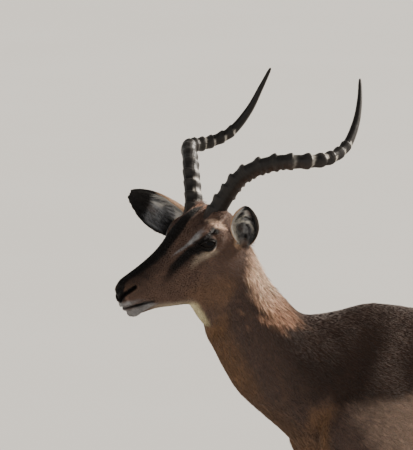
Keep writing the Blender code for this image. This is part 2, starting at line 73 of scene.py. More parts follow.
def toFace(points):  # x, y, z to forward along the face line, out, and up square to it
    dx, dz = crownX - points[:, 0], crownZ - points[:, 2]
    return np.stack((dx * faceCos + dz * faceSin, points[:, 1], dx * faceSin - dz * faceCos), axis=1)


def halfFace(points):  # the same with both sides as one, so out is never below 0
    face = toFace(points)
    face[:, 1] = np.abs(face[:, 1])
    return face


# The neck's line turns by an S curve of x, and each point keeps its distance beside the line. Points
# with rigid at 1 are carried by the head, and so by the line at the crown.
def setDown(points, rigid=0.0):
    x = np.linspace(-0.65, 1.0, 1651)
    turn = place["headTurn"] * ramp(place["bend"][0], place["bend"][1], x)
    lineX = np.cumsum(np.cos(turn)) * (x[1] - x[0])
    lineY = np.cumsum(np.sin(turn)) * (x[1] - x[0])
    lineX += x[-1] - lineX[-1]
    lineY -= lineY[-1]
    start = points[:, 0] * (1 - rigid) + crownX * rigid
    angle = np.interp(start, x, turn)
    past, side = points[:, 0] - start, points[:, 1]
    newX = np.interp(start, x, lineX) + past * np.cos(angle) - side * np.sin(angle)
    newY = np.interp(start, x, lineY) + past * np.sin(angle) + side * np.cos(angle)
    return np.stack((newX - place["middle"][0], newY - place["middle"][1], points[:, 2]), axis=1)


# Distance from points to a line through stops, with the stops' further numbers read along it.
def alongStops(points, stops):
    stops = np.asarray(stops, float)
    size = points.shape[1]
    best = np.full(len(points), 1e9)
    carried = np.zeros((len(points), stops.shape[1] - size))
    if len(stops) == 1:
        return np.linalg.norm(points - stops[0, :size], axis=1), np.repeat(stops[:, size:], len(points), 0)
    for first, second in zip(stops, stops[1:]):
        span = second[:size] - first[:size]
        t = np.clip((points - first[:size]) @ span / (span @ span), 0, 1)
        away = np.linalg.norm(points - first[:size] - t[:, None] * span, axis=1)
        nearer = away < best
        best = np.where(nearer, away, best)
        between = first[size:] + t[:, None] * (second[size:] - first[size:])
        carried = np.where(nearer[:, None], between, carried)
    return best, carried


def bell(value, width):  # 1 at 0, and falling on both sides over about the width
    return np.exp(-((value / width) ** 2))


def fullTurn(count):  # angles evenly round a circle, as a row
    return np.linspace(0, 2 * math.pi, count, endpoint=False)[None, :]


def tubeFaces(rings, sides):  # quads of a closed tube, whose two pole points follow its rings
    here, j = np.meshgrid(np.arange(rings - 1) * sides, np.arange(sides), indexing="ij")
    after = (j + 1) % sides
    quads = np.stack((here + j, here + after, here + sides + after, here + sides + j), axis=-1)
    k = np.arange(sides)
    low, high = rings * sides, rings * sides + 1
    start = np.stack((np.full(sides, low), (k + 1) % sides, k), axis=1)
    last = (rings - 1) * sides
    end = np.stack((np.full(sides, high), last + k, last + (k + 1) % sides), axis=1)
    return quads.reshape(-1, 4), np.concatenate((start, end))


def closedTube(rings):  # points and faces of a tube through rings, its ends closed at their middles
    poles = np.stack((rings[0].mean(axis=0), rings[-1].mean(axis=0)))
    quads, triangles = tubeFaces(len(rings), rings.shape[1])
    return np.concatenate((rings.reshape(-1, 3), poles)), quads, triangles


def newMesh(name, points, *faceSets):
    mesh = bpy.data.meshes.new(name)
    corners = np.concatenate([faces.ravel() for faces in faceSets])
    sizes = np.concatenate([np.full(len(faces), faces.shape[1]) for faces in faceSets])
    mesh.vertices.add(len(points))
    mesh.vertices.foreach_set("co", points.astype(np.float32).ravel())
    mesh.loops.add(len(corners))
    mesh.loops.foreach_set("vertex_index", corners.astype(np.int32))
    mesh.polygons.add(len(sizes))
    starts = np.concatenate(([0], np.cumsum(sizes)[:-1]))
    mesh.polygons.foreach_set("loop_start", starts.astype(np.int32))
    mesh.update(calc_edges=True)
    return mesh


def newPiece(name, mesh, material, replaced=(), smooth=True):
    mesh.name = name
    piece = bpy.data.objects.new(name, mesh)
    bpy.context.scene.collection.objects.link(piece)
    mesh.materials.append(material)
    if smooth:
        mesh.shade_smooth()
    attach(piece, "root")
    if replaced:
        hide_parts(*replaced)
    return piece


def setColour(mesh, colour):  # a linear colour for each vertex, read by the materials as "tint"
    layer = mesh.color_attributes.new("tint", "FLOAT_COLOR", "POINT")
    full = np.concatenate((colour, np.ones((len(colour), 1))), axis=1)
    layer.data.foreach_set("color", full.astype(np.float32).ravel())


def setUnwrap(mesh, name, corners):  # a UV map from two numbers for each corner of the faces
    layer = mesh.uv_layers.new(name=name)
    layer.uv.foreach_set("vector", corners.astype(np.float32).ravel())


def readRows(rows, name, wide, kind=np.float32):  # one property of all parts of a mesh, a row for each
    values = np.empty(len(rows) * wide, kind)
    rows.foreach_get(name, values)
    return values.reshape(-1, wide)


def meshPoints(mesh):
    return readRows(mesh.vertices, "co", 3).astype(float)


def meshNormals(mesh):
    return readRows(mesh.vertex_normals, "vector", 3).astype(float)


def meshEdges(mesh):
    return readRows(mesh.edges, "vertices", 2, np.int32)


def outwards(mesh):  # turns a closed mesh's faces outwards
    work = bmesh.new()
    work.from_mesh(mesh)
    bmesh.ops.recalc_face_normals(work, faces=work.faces)
    work.to_mesh(mesh)
    work.free()


def putPoints(mesh, points):
    mesh.vertices.foreach_set("co", points.astype(np.float32).ravel())
    mesh.update()


def linear(hexColour):  # sRGB hex to linear red, green and blue
    value = np.array([int(hexColour[i : i + 2], 16) / 255 for i in (0, 2, 4)])
    return np.where(value <= 0.04045, value / 12.92, ((value + 0.055) / 1.055) ** 2.4)


# ---- the straight form, as in the CAD
# Head sections: forward and down from the crown of the upper and the lower outline and half width, in mm,
# then height of the widest place as a share, squareness of the upper and lower half.
headSections = (
    (170.5, 123.5, 173.5, 138.5, 8, 0.5, 2, 2),
    (169.2, 118.5, 171.5, 150.5, 15, 0.54, 2.2, 2),
    (165, 113.5, 165, 162, 19.5, 0.58, 2.4, 2.1),
    (157, 108, 152, 171, 21.5, 0.58, 2.4, 2.1),
    (143, 99.5, 131, 174.5, 22.2, 0.54, 2.3, 2),
    (124, 87.5, 114, 171, 22.8, 0.5, 2.2, 1.9),
    (104, 73.5, 95, 168, 25, 0.46, 2.2, 1.8),
    (86, 59, 77, 167, 29, 0.46, 2.2, 1.8),
    (68, 42, 58, 166.5, 34.5, 0.52, 2.3, 1.8),
    (50, 25, 40, 166, 39, 0.58, 2.5, 1.8),
    (27, 7, 26, 168, 41, 0.62, 2.6, 1.9),
    (2, -3, 18, 178, 43, 0.6, 2.5, 1.9),
    (-24, -3, 11, 189, 46, 0.56, 2.3, 1.9),
    (-48, 8, 3, 200, 50, 0.54, 2.1, 1.8),
    (-72, 30, -6, 209, 52, 0.52, 1.9, 1.8),
)
# Neck and trunk: x and z of the upper and of the lower outline in mm, then as above.
bodySections = (
    (-208, 1024, -293, 866, 54, 0.5, 1.8, 1.8),
    (-177, 969, -281, 846, 56, 0.5, 1.8, 1.8),
    (-143, 934, -256, 806, 59, 0.5, 1.8, 1.9),
    (-106, 901, -226, 764, 64, 0.5, 1.8, 1.9),
    (-77, 901, -183, 726, 71, 0.48, 1.8, 1.9),
    (-50, 904, -138, 687, 80, 0.46, 1.7, 1.8),
    (-20, 911, -98, 641, 88, 0.44, 1.6, 1.8),
    (10, 917, -80, 590, 98, 0.44, 1.6, 1.9),
    (50, 914, -30, 565, 106, 0.44, 1.6, 1.9),
    (100, 905, 40, 550, 115, 0.45, 1.7, 1.9),
    (170, 893, 130, 543, 126, 0.46, 1.8, 2),
    (250, 886, 230, 545, 134, 0.46, 1.9, 2),
    (330, 888, 330, 558, 135, 0.46, 1.9, 2.1),
    (410, 900, 420, 585, 127, 0.48, 1.9, 2.1),
    (480, 911, 490, 616, 116, 0.54, 1.9, 2),
    (540, 912, 550, 640, 106, 0.6, 1.9, 2),
    (600, 898, 610, 665, 94, 0.6, 2, 2),
    (645, 872, 655, 690, 78, 0.56, 2, 2),
    (674, 840, 684, 720, 60, 0.5, 2, 2),
    (690, 806, 694, 760, 28, 0.5, 2, 2),
)
# Legs and tail, in mm: x and z of the front and of the rear outline, distance out, half width.
legSections = {
    "fore": (
        (-20, 850, 65, 850, 52, 14),
        (-75, 765, 95, 775, 80, 30),
        (-108, 695, 112, 700, 84, 37),
        (-96, 640, 104, 638, 84, 38),
        (-64, 582, 82, 588, 80, 33),
        (-40, 530, 48, 530, 75, 26.5),
        (-32, 470, 29, 470, 72, 21.5),
        (-27, 400, 18, 400, 70, 17),
        (-26, 355, 15, 355, 69, 16.2),
        (-28, 325, 18, 325, 69, 19),
        (-23, 292, 12, 292, 69, 16),
        (-18, 245, 10, 245, 68, 12.2),
        (-17, 180, 10, 180, 68, 11.2),
        (-18, 135, 12, 135, 68, 12.2),
        (-21, 105, 17, 103, 68, 16.2),
        (-27, 75, 10, 72, 68, 14.5),
        (-36, 48, 11, 46, 68, 19),
        (-38, 36, 12, 34, 68, 19),
    ),
    "hind": (
        (470, 870, 615, 862, 55, 30),
        (440, 785, 678, 805, 70, 42),
        (424, 705, 704, 738, 77, 45),
        (414, 640, 692, 668, 79, 43),
        (424, 585, 668, 605, 78, 38),
        (470, 528, 652, 558, 76, 31),
        (540, 468, 638, 520, 74, 24.5),
        (596, 424, 660, 460, 73, 20),
        (636, 394, 698, 424, 73, 17.2),
        (654, 366, 722, 398, 73, 18.2),
        (657, 334, 710, 342, 73, 18),
        (656, 298, 694, 300, 73, 14.5),
        (650, 248, 680, 248, 72, 12.2),
        (643, 182, 672, 182, 72, 11.8),
        (637, 140, 672, 140, 72, 12.8),
        (631, 108, 670, 106, 72, 16.2),
        (622, 77, 657, 73, 72, 14.5),
        (610, 48, 656, 46, 72, 19),
        (608, 36, 657, 34, 72, 19),
    ),
}
roundSection = (0.5, 2.0, 2.0)  # widest place and squareness of the legs and the tail
stepTop = {"fore": 0.56, "hind": 0.46}  # height above which a leg takes no part in the stride
stride = {("fore", -1): 0.028, ("fore", 1): -0.03, ("hind", -1): -0.046, ("hind", 1): 0.03}
tailSections = (
    (628, 840, 642, 864, 0, 13),
    (662, 822, 684, 848, 0, 19),
    (682, 785, 712, 800, 0, 22),
    (694, 735, 724, 740, 0, 24),
    (699, 680, 729, 681, 0, 26),
    (700, 625, 729, 624, 0, 25),
    (702, 580, 726, 577, 0, 18),
    (706, 547, 719, 545, 0, 9),
    (710, 532, 715, 531, 0, 3),
)
# Rounded masses of the head, in metres: forward, out, up, then their three radii.
headMasses = (
    (0.042, 0.034, -0.0125, 0.034, 0.022, 0.015),  # brow
    (0.024, 0.038, -0.036, 0.017, 0.013, 0.022),  # rear rim of the eye socket
    (0.074, 0.027, -0.052, 0.042, 0.014, 0.015),  # cheek bone
    (0.036, 0.032, -0.085, 0.04, 0.015, 0.036),  # chewing muscle
    (0.198, 0.011, -0.009, 0.017, 0.012, 0.011),  # nostril wing
    (0.203, 0.009, -0.03, 0.017, 0.013, 0.012),  # upper lip
    (0.2145, 0.005, -0.0435, 0.014, 0.012, 0.009),  # chin
    (0.002, 0.033, -0.009, 0.023, 0.021, 0.017),  # horn root
    (-0.008, 0.034, -0.078, 0.022, 0.015, 0.024),  # ear root
)


# Rows on a smooth curve through the given ones, evenly spaced along the line of their middles.
def smoothRows(rows, count):
    rows = np.array(rows, float)
    middle = (rows[:, 0:2] + rows[:, 2:4]) / 2
    at = np.concatenate(([0], np.cumsum(np.linalg.norm(np.diff(middle, axis=0), axis=1) + 1e-4)))
    slope = np.gradient(rows, at, axis=0)
    want = np.linspace(0, at[-1], count)
    i = np.clip(np.searchsorted(at, want, side="right") - 1, 0, len(at) - 2)
    span = (at[i + 1] - at[i])[:, None]
    t = (want - at[i])[:, None] / span
    return (
        (2 * t**3 - 3 * t**2 + 1) * rows[i]
        + (t**3 - 2 * t**2 + t) * span * slope[i]
        + (3 * t**2 - 2 * t**3) * rows[i + 1]
        + (t**3 - t**2) * span * slope[i + 1]
    )


# A ring is a superellipse: its side goes with |cos|^(2/n), its height from the lower outline to the upper
# with |sin|^(2/n), above and below the widest place.
def sectionRings(rows, sides):
    first, second, out, half, widest, upper, lower = (
        rows[:, 0:2], rows[:, 2:4], rows[:, 4], rows[:, 5], rows[:, 6:7], rows[:, 7:8], rows[:, 8:9]
    )
    angle = fullTurn(sides)
    cos, sin = np.cos(angle), np.sin(angle)
    power = 2 / np.where(sin >= 0, upper, lower)
    side = np.sign(cos) * np.abs(cos) ** power * half[:, None]
    rise = np.abs(sin) ** power
    height = np.where(sin >= 0, widest + (1 - widest) * rise, widest * (1 - rise))
    spot = second[:, None, :] + (first - second)[:, None, :] * height[:, :, None]
    return np.stack((spot[:, :, 0], out[:, None] + side, spot[:, :, 1]), axis=2)


def bodyRows():  # from nose to rump, in metres: x and z of both outlines, out, half width and the rest
    rows = np.array(headSections + bodySections)
    rows[:, :5] /= 1000
    head = rows[: len(headSections), :4]
    head[:] = (crownX, crownZ, crownX, crownZ) - head
    return np.insert(rows, 4, 0.0, axis=1)


def legRows(kind, side):  # a leg's rows, its foot moved back by its stride
    rows = np.array(legSections[kind]) / 1000
    back = stride[(kind, side)] * np.maximum(0.0, 1 - (rows[:, 1] + rows[:, 3]) / 2 / stepTop[kind])
    rows[:, [0, 2]] += back[:, None]
    rows[:, 4] *= side
    return [(*row, *roundSection) for row in rows]


def ball(middle, radii, rings=14, sides=20):  # an ellipsoid, its first radius along the face line
    rise = np.linspace(0, math.pi, rings + 2)[1:-1, None]
    angle = fullTurn(sides)
    local = np.stack(
        (np.cos(rise) + 0 * angle, np.sin(rise) * np.cos(angle), np.sin(rise) * np.sin(angle)), axis=2
    ) * np.array(radii)
    turned = fromFace(local[..., 0], local[..., 1], local[..., 2]) - fromFace(0, 0, 0)
    return closedTube(turned + np.array(middle))


ears = {
    "root": (-0.008, 0.045, -0.081),  # forward, out and up from the crown
    "tip": {-1: (0.114, 0.076, 0.074), 1: (0.11, 0.106, 0.073)},  # out, forward and up of the root
    "faces": {-1: (0.3, 0.48, -0.91), 1: (-0.38, 0.88, -0.22)},  # where the opening looks
    "halfWidth": {-1: 0.0425, 1: 0.05},  # round the curve
    "wrap": {-1: (165, 80), 1: (150, 95)},  # half angle of the arc at the root, and what it loses to the tip
    "wall": 0.0056,  # its thickness
    "rim": 0.35,  # below 1 for a wall that keeps its thickness to the edge
}


def earFrame(side):  # root, direction to the tip, direction faced, direction across, and length
    root = fromFace(ears["root"][0], side * ears["root"][1], ears["root"][2])
    out, forward, up = ears["tip"][side]
    axis = np.array((-forward, side * out, up))
    out, forward, up = ears["faces"][side]
    faces = np.array((-forward, side * out, up))
    length = np.linalg.norm(axis)
    axis = axis / length
    faces = unit(faces - (faces @ axis) * axis)
    return root, axis, faces, np.cross(axis, faces), length


def earCurve(u, side):  # half width round the curve and half angle of its arc, at share u of the length
    half = ears["halfWidth"][side] * np.sin(math.pi * np.clip(u * 0.82 + 0.16, 0, 1) ** 1.25) ** 0.72 + 0.0012
    wrap = np.radians(ears["wrap"][side][0] - ears["wrap"][side][1] * np.clip(u, 0, 1) ** 0.7)
    return half, wrap, 0.01 * np.sin(math.pi * np.clip(u, 0, 1))


# An ear is an arc of radius half / wrap at each height, doubled to a wall whose rim is round.
def earShell(side, rings=70, sides=72):
    root, axis, faces, across, length = earFrame(side)
    u = np.linspace(0, 1, rings)[:, None]
    turn = fullTurn(sides)
    half, wrap, sink = earCurve(u, side)
    radius = half / wrap
    angle = np.cos(turn) * wrap
    off = ears["wall"] / 2 * np.sign(np.sin(turn)) * np.abs(np.sin(turn)) ** ears["rim"] * (1 - 0.05 * u)
    flat = (radius + off) * np.cos(angle)
    spread = (radius + off) * np.sin(angle)
    rise = length * u + 0 * turn
    rings = root + axis * rise[..., None] + faces * (radius - flat - sink)[..., None]
    return closedTube(rings + across * spread[..., None])


# Share of the ear's length, place round its arc from -1 to 1, and how far outside the arc's middle.
def earPlace(points, side):
    root, axis, faces, across, length = earFrame(side)
    local = points - root
    u = local @ axis / length
    half, wrap, sink = earCurve(u, side)
    radius = half / wrap
    toward, sideways = radius - sink - local @ faces, local @ across
    return u, np.arctan2(sideways, toward) / wrap, np.hypot(sideways, toward) - radius


def earWall(u, outside, start, full):  # 1 on an ear's wall, coming in between two shares of its length
    return ramp(0.012, 0.007, np.abs(outside)) * ramp(start, full, u)


def onEar(points):  # 1 on an ear and 0 on the head, mixed over the ear's root
    share = np.zeros(len(points))
    for side in (-1, 1):
        u, _, outside = earPlace(points, side)
        share = np.maximum(share, earWall(u, outside, 0.08, 0.24) * (points[:, 1] * side > 0))
    return share


# ---- the skin
skin = {
    "voxel": 0.0078,  # far from the head, and finer towards it by the lens below
    "lensMiddle": (-0.36, 0.0, 1.03),
    "lensPower": 3.7,
    "lensReach": 0.27,
    "depth": 0.0042,  # of the coat on the body, which the skin leaves free
}


# The lens spreads points from its middle, by power near it and by 1 far away, so that one voxel size
# gives a finer net at the head.
def lens(points, back=False):
    middle = np.array(skin["lensMiddle"])
    away = points - middle
    distance = np.linalg.norm(away, axis=1)
    table = np.linspace(0, 2.0, 4000)
    spread = table * (1 + (skin["lensPower"] - 1) / (1 + (table / skin["lensReach"]) ** 2))
    source, target = (spread, table) if back else (table, spread)
    new = np.interp(distance, source, target)
    return middle + away * (new / np.maximum(distance, 1e-9))[:, None]


def relax(points, edges, share, times):  # each point moves by share towards the mean of its neighbours
    count = np.bincount(edges.ravel(), minlength=len(points))[:, None]
    for _ in range(times):
        total = np.zeros_like(points)
        for k in range(3):
            total[:, k] = np.bincount(edges[:, 0], points[edges[:, 1], k], len(points))
            total[:, k] += np.bincount(edges[:, 1], points[edges[:, 0], k], len(points))
        points = points + (total / np.maximum(count, 1) - points) * share
    return points


def joinForms():  # all straight forms as one closed net, by way of voxels
    forms = [closedTube(sectionRings(smoothRows(bodyRows(), 260), 72))]
    tail = [(*row, *roundSection) for row in np.array(tailSections) / 1000]
    forms.append(closedTube(sectionRings(smoothRows(tail, 60), 24)))
    for side in (-1, 1):
        for kind in legSections:
            forms.append(closedTube(sectionRings(smoothRows(legRows(kind, side), 150), 36)))
        for forward, out, up, *radii in headMasses:
            forms.append(ball(fromFace(forward, side * out, up), radii))
        forms.append(earShell(side))
    points, quads, triangles, start = [], [], [], 0
    for spots, four, three in forms:
        points.append(lens(spots))
        quads.append(four + start)
        triangles.append(three + start)
        start += len(spots)
    mesh = newMesh("forms", np.concatenate(points), np.concatenate(quads), np.concatenate(triangles))
    holder = bpy.data.objects.new("forms", mesh)
    bpy.context.scene.collection.objects.link(holder)
    voxels = holder.modifiers.new("join", "REMESH")
    voxels.mode = "VOXEL"
    voxels.voxel_size = skin["voxel"]
    graph = bpy.context.evaluated_depsgraph_get()
    joined = bpy.data.meshes.new_from_object(holder.evaluated_get(graph))
    bpy.data.objects.remove(holder)
    putPoints(joined, lens(relax(meshPoints(joined), meshEdges(joined), 0.5, 6), back=True))
    return joined


eye = {
    "middle": (0.048, 0.0345, -0.034),  # forward, out, up from the crown
    "radius": 0.0165,
    "looks": (0.2, 0.97, 0.1),
    "tilt": math.radians(33),  # of the long axis against the face line
    "opening": (-0.8, 0.93, 0.34, 0.44),  # rear, front, upper and lower edge, as shares of the radius
    "lid": 0.0016,  # its thickness
    "ball": "080605",
    "iris": "0d0806",
    "pupil": "04050a",
}


def eyeFrame(side):  # the eyeball's middle and its long, short and looking axes
    out = eye["looks"][1] * side
    looks = unit(fromFace(eye["looks"][0], out, eye["looks"][2]) - fromFace(0, 0, 0))
    along = fromFace(math.cos(eye["tilt"]), 0, math.sin(eye["tilt"])) - fromFace(0, 0, 0)
    along = unit(along - (along @ looks) * looks)
    short = np.cross(along, looks) * -side
    middle = fromFace(eye["middle"][0], side * eye["middle"][1], eye["middle"][2])
    return middle, along, short * (1 if short[2] > 0 else -1), looks


def lidLines(u):  # heights of the upper and lower lid over u, arches that meet at the corners
    rear, front, upper, lower = eye["opening"]
    t = np.clip((u - rear) / (front - rear), 0, 1)
    arch = np.sin(math.pi * t**1.25) ** 0.85
    droop = -0.1 * ramp(0.55, 1, t)
    return upper * arch + droop, -lower * np.sin(math.pi * t**1.1) ** 0.9 + droop


# The way from the eyeball's middle to a point: its shares across the eye and outwards, its length, and how
# far within the opening it passes.
def eyePlace(points, side):
    middle, along, short, looks = eyeFrame(side)
    away = points - middle
    distance = np.linalg.norm(away, axis=1)
    way = away / np.maximum(distance, 1e-9)[:, None]
    u, v = way @ along, way @ short
    upper, lower = lidLines(u)
    inside = np.minimum(upper - v, v - lower)
    inside = np.where((u > eye["opening"][0]) & (u < eye["opening"][1]), inside, -1.0)
    return v, way @ looks, distance, inside


# Swellings and hollows of the sides, in mm: x, z of two ends, width of the bell curve, height.
muscles = (
    (30, 860, -85, 705, 20, 4),  # shoulder blade
    (0, 875, -120, 735, 16, -2),
    (75, 850, 30, 730, 20, -2),
    (30, 745, 60, 650, 40, 5.5),  # upper arm
    (122, 800, 118, 590, 16, -4.5),
    (-103, 700, -100, 690, 24, 4.5),  # point of the shoulder
    (-140, 775, -90, 650, 14, -3),
    (-60, 640, -10, 590, 20, 2.5),
    (68, 622, 72, 612, 16, 4),  # elbow
    (-262, 935, -170, 765, 11, -3.2),  # groove along the neck
    (-278, 900, -200, 760, 14, 2),
    (-235, 975, -115, 790, 26, 3),
    (-160, 930, -60, 850, 16, -2),
    (330, 835, 405, 800, 34, -6),  # hollow of the flank
    (430, 872, 436, 860, 18, 6),  # hip bone
    (452, 700, 395, 610, 14, 3.5),  # fold before the thigh
    (480, 780, 540, 680, 45, 4),  # thigh
    (560, 860, 600, 850, 22, 3.5),
    (628, 820, 600, 620, 14, -2.6),
    (660, 780, 640, 640, 22, 2.5),
    (443, 655, 440, 640, 20, 4),  # knee cap
    (478, 600, 470, 575, 12, -2.5),
    (510, 570, 590, 470, 18, 2.5),
    (600, 535, 660, 440, 8, -5),  # hollow before the heel tendon
    (690, 400, 700, 385, 12, 2),
    (560, 800, 555, 640, 16, -1.5),
)
# The same on the legs below, which move with their stride: kind, then as above.
tendons = (
    ("fore", -12, 560, -10, 400, 8, -2.5),
    ("fore", -24, 540, -20, 400, 7, 1.5),
    ("fore", -6, 335, -6, 315, 10, 2),
    ("fore", 2, 290, 3, 130, 3.5, -2.2),
    ("fore", -4, 105, -3, 98, 10, 1.5),
    ("hind", 682, 372, 676, 340, 8, -2),
    ("hind", 672, 310, 659, 130, 3.5, -2.2),
    ("hind", 650, 108, 650, 98, 10, 1.5),
    ("fore", -20, 90, -10, 60, 6, -1),
    ("hind", 640, 90, 640, 60, 6, -1),
)
# On the head: forward, out, up of the ends and width in metres, height in mm.
headFolds = (
    ((0.07, 0.04, -0.05), (0.128, 0.026, -0.042), 0.007, 1.6),  # crest of the cheek bone
    ((0.092, 0.034, -0.028), (0.118, 0.027, -0.026), 0.008, -1.8),  # hollow before the eye
    ((0.018, 0.046, -0.022), (0.01, 0.046, -0.034), 0.008, -2.0),  # temple
    ((0.095, 0.036, -0.075), (0.06, 0.04, -0.115), 0.008, -1.6),  # front edge of the chewing muscle
    ((0.06, 0.045, -0.08), (0.035, 0.047, -0.1), 0.018, 1.6),
    ((0.17, 0.022, -0.012), (0.12, 0.025, -0.01), 0.006, 0.9),  # edge of the nose bone
    ((0.175, 0.023, -0.022), (0.14, 0.025, -0.026), 0.006, -1.2),
    ((0.196, 0.02, -0.022), (0.18, 0.022, -0.034), 0.006, 1.2),  # upper lip
    ((0.205, 0.0, 0.012), (0.15, 0.0, 0.01), 0.005, -0.8),  # along the nose
    ((0.15, 0.02, -0.075), (0.1, 0.026, -0.105), 0.007, 1.4),  # jaw bone
    ((0.165, 0.02, -0.06), (0.135, 0.026, -0.066), 0.006, -1.0),
    ((0.03, 0.049, -0.06), (0.012, 0.05, -0.078), 0.007, -1.6),  # under the ear
)
mouth = (
    (0.2285, 0.0, -0.0238),
    (0.2228, 0.013, -0.0258),
    (0.211, 0.0175, -0.0312),
    (0.1982, 0.0188, -0.038),
    (0.1825, 0.0175, -0.0492),
)
nostril = (
    (0.1962, 0.02, -0.0034),
    (0.2075, 0.019, -0.0015),
    (0.2165, 0.014, -0.002),
    (0.2235, 0.0065, -0.005),
    (0.2262, 0.0035, -0.0085),
)


def refine(mesh, spots):  # splits the faces near spots of the straight head, each a middle and a reach
    work = bmesh.new()
    work.from_mesh(mesh)
    points = meshPoints(mesh)
    near = np.zeros(len(points), bool)
    for middle, reach in spots:
        near |= np.linalg.norm(points - middle, axis=1) < reach
    work.edges.ensure_lookup_table()
    pairs = meshEdges(mesh)
    chosen = [work.edges[i] for i in np.nonzero(near[pairs].all(axis=1))[0]]
    bmesh.ops.subdivide_edges(work, edges=chosen, cuts=1, use_grid_fill=True)
    bmesh.ops.triangulate(work, faces=[face for face in work.faces if len(face.verts) > 4])
    work.to_mesh(mesh)
    work.free()


def coatDepth(points):  # how far the skin stays inside the CAD's outline
    forward = toFace(points)[:, 0]
    deep = np.full(len(points), skin["depth"])
    deep *= 1 - 0.45 * ramp(0.62, 0.4, points[:, 2])
    deep *= 1 - 0.45 * ramp(0.2, 0.08, points[:, 2])
    head = ramp(-0.02, 0.03, headAhead(points))
    deep *= 1 - head * (0.45 + 0.3 * ramp(0.1, 0.18, forward))
    return deep * (1 - 0.97 * onEar(points))


def headAhead(points):  # distance ahead of the plane that parts head and neck
    low, high = np.array((-0.312, 0.893)), np.array((-0.226, 1.054))
    along = unit(high - low)
    return (points[:, [0, 2]] - low) @ np.array((-along[1], along[0]))


def shapeSkin(mesh):
    points, normals, edges = meshPoints(mesh), meshNormals(mesh), meshEdges(mesh)
    crease = ramp(0.66, 0.6, points[:, 2]) * ramp(0.5, 0.54, points[:, 2]) * 0.5
    points = relax(points, edges, 0.15 + crease[:, None], 8) - normals * coatDepth(points)[:, None]
    putPoints(mesh, points)
    points, normals = meshPoints(mesh), meshNormals(mesh)
    sideways = ramp(0.25, 0.75, np.abs(normals[:, 1]))
    flat = points[:, [0, 2]]
    lift = np.zeros(len(points))
    body = ramp(0.02, -0.01, headAhead(points)) * sideways
    for x1, z1, x2, z2, width, height in np.array(muscles) / 1000:
        away, _ = alongStops(flat, ((x1, z1), (x2, z2)))
        lift += body * height * bell(away, width)
    for k in range(9):  # ribs
        top, low = 0.135 + 0.032 * k, 0.15 + 0.04 * k
        away, _ = alongStops(flat, ((top, 0.815), (low, 0.635 + 0.004 * k)))
        lift += body * 0.0006 * bell(away, 0.0095)
    outward = ramp(0.3, 0.7, np.abs(normals[:, 1]))
    for kind, *measures in tendons:
        x1, z1, x2, z2, width, height = np.array(measures) / 1000
        for side in (-1, 1):
            back = [stride[(kind, side)] * max(0.0, 1 - z / stepTop[kind]) for z in (z1, z2)]
            away, _ = alongStops(flat, ((x1 + back[0], z1), (x2 + back[1], z2)))
            own = (points[:, 1] * side > 0.01) * outward
            lift += own * height * bell(away, width)
    face = halfFace(points)
    head = ramp(-0.03, 0.0, headAhead(points)) * (1 - onEar(points))
    for first, second, width, height in headFolds:
        away, _ = alongStops(face, (first, second))
        lift += head * height * 0.001 * bell(away, width)
    away, _ = alongStops(face, nostril)
    lift += 0.0014 * bell(away - 0.0055, 0.003) * (face[:, 2] > -0.012)
    lift -= 0.0065 * ramp(0.0042, 0.0012, away)
    away, _ = alongStops(face, mouth)
    lift -= 0.003 * bell(away, 0.0019)
    lift += 0.001 * bell(away - 0.005, 0.0025)
    points = points + normals * lift[:, None]
    for side in (-1, 1):
        points = shapeLids(points, side)
    return points


# Round the eye the skin is drawn onto the ball: lids stand over it by their thickness, and within the
# opening the skin lies behind the ball's surface.
def shapeLids(points, side):
    v, ahead, distance, inside = eyePlace(points, side)
    radius, lid = eye["radius"], eye["lid"]
    middle = eyeFrame(side)[0]
    over = radius + lid + 0.0012 * np.exp(-((inside + 0.05) ** 2) / 0.004) * (v > 0)
    hold = ramp(-0.42, -0.06, inside) * ramp(0.15, 0.4, ahead) * (distance < 2 * radius)
    new = distance + (over - distance) * hold
    raised = np.maximum(new, np.minimum(over, new + 0.002))
    new = np.where((ahead > 0.15) & (distance < 1.5 * radius), raised, new)
    new -= 0.0012 * bell(inside + 0.2, 0.035) * (v > 0) * hold  # the fold over the upper lid
    near = distance < 2 * radius
    new = np.where((inside <= 0) & (ahead > 0.05) & near, np.maximum(new, radius + 0.7 * lid), new)
    new = np.where((inside > 0) & (ahead > 0.1) & near, radius - 0.003, new)
    return middle + (points - middle) * (new / np.maximum(distance, 1e-9))[:, None]


print("joining the forms")
skinMesh = joinForms()
detail = [(fromFace(0.205, 0.0, -0.018), 0.046)]
for side in (-1, 1):
    detail.append((fromFace(eye["middle"][0] + 0.004, side * 0.046, eye["middle"][2]), 0.027))
refine(skinMesh, detail)
straight = shapeSkin(skinMesh)
putPoints(skinMesh, straight)
print("skin:", sum(len(face.vertices) - 2 for face in skinMesh.polygons), "triangles")


# ---- the coat's colours, the same for skin and tufts
hues = {  # each is brushed hair as it looks on the living animal, matt and a little dusty, except two painted lights
    "saddle": "32251f",
    "flank": "8e7869",
    "neck": "4e3e37",
    "nape": "b8977a",
    # painted sunlight: the bright look of hair lit by the sun
    "sunlit": "d6b8a0",
    # laid as painted bounced light, a warm brown on the forward-facing chest and neck
    "chest": "6e523a",
    "head": "5c483e",
    "cheek": "6c523f",
    "rust": "a5683e",
    "leg": "80654c",
    "cream": "c9bba4",
    "white": "e0dacf",
    "grey": "888889",
    "straw": "cfc49c",
    "black": "0e0b0a",
    "soot": "241a16",
}
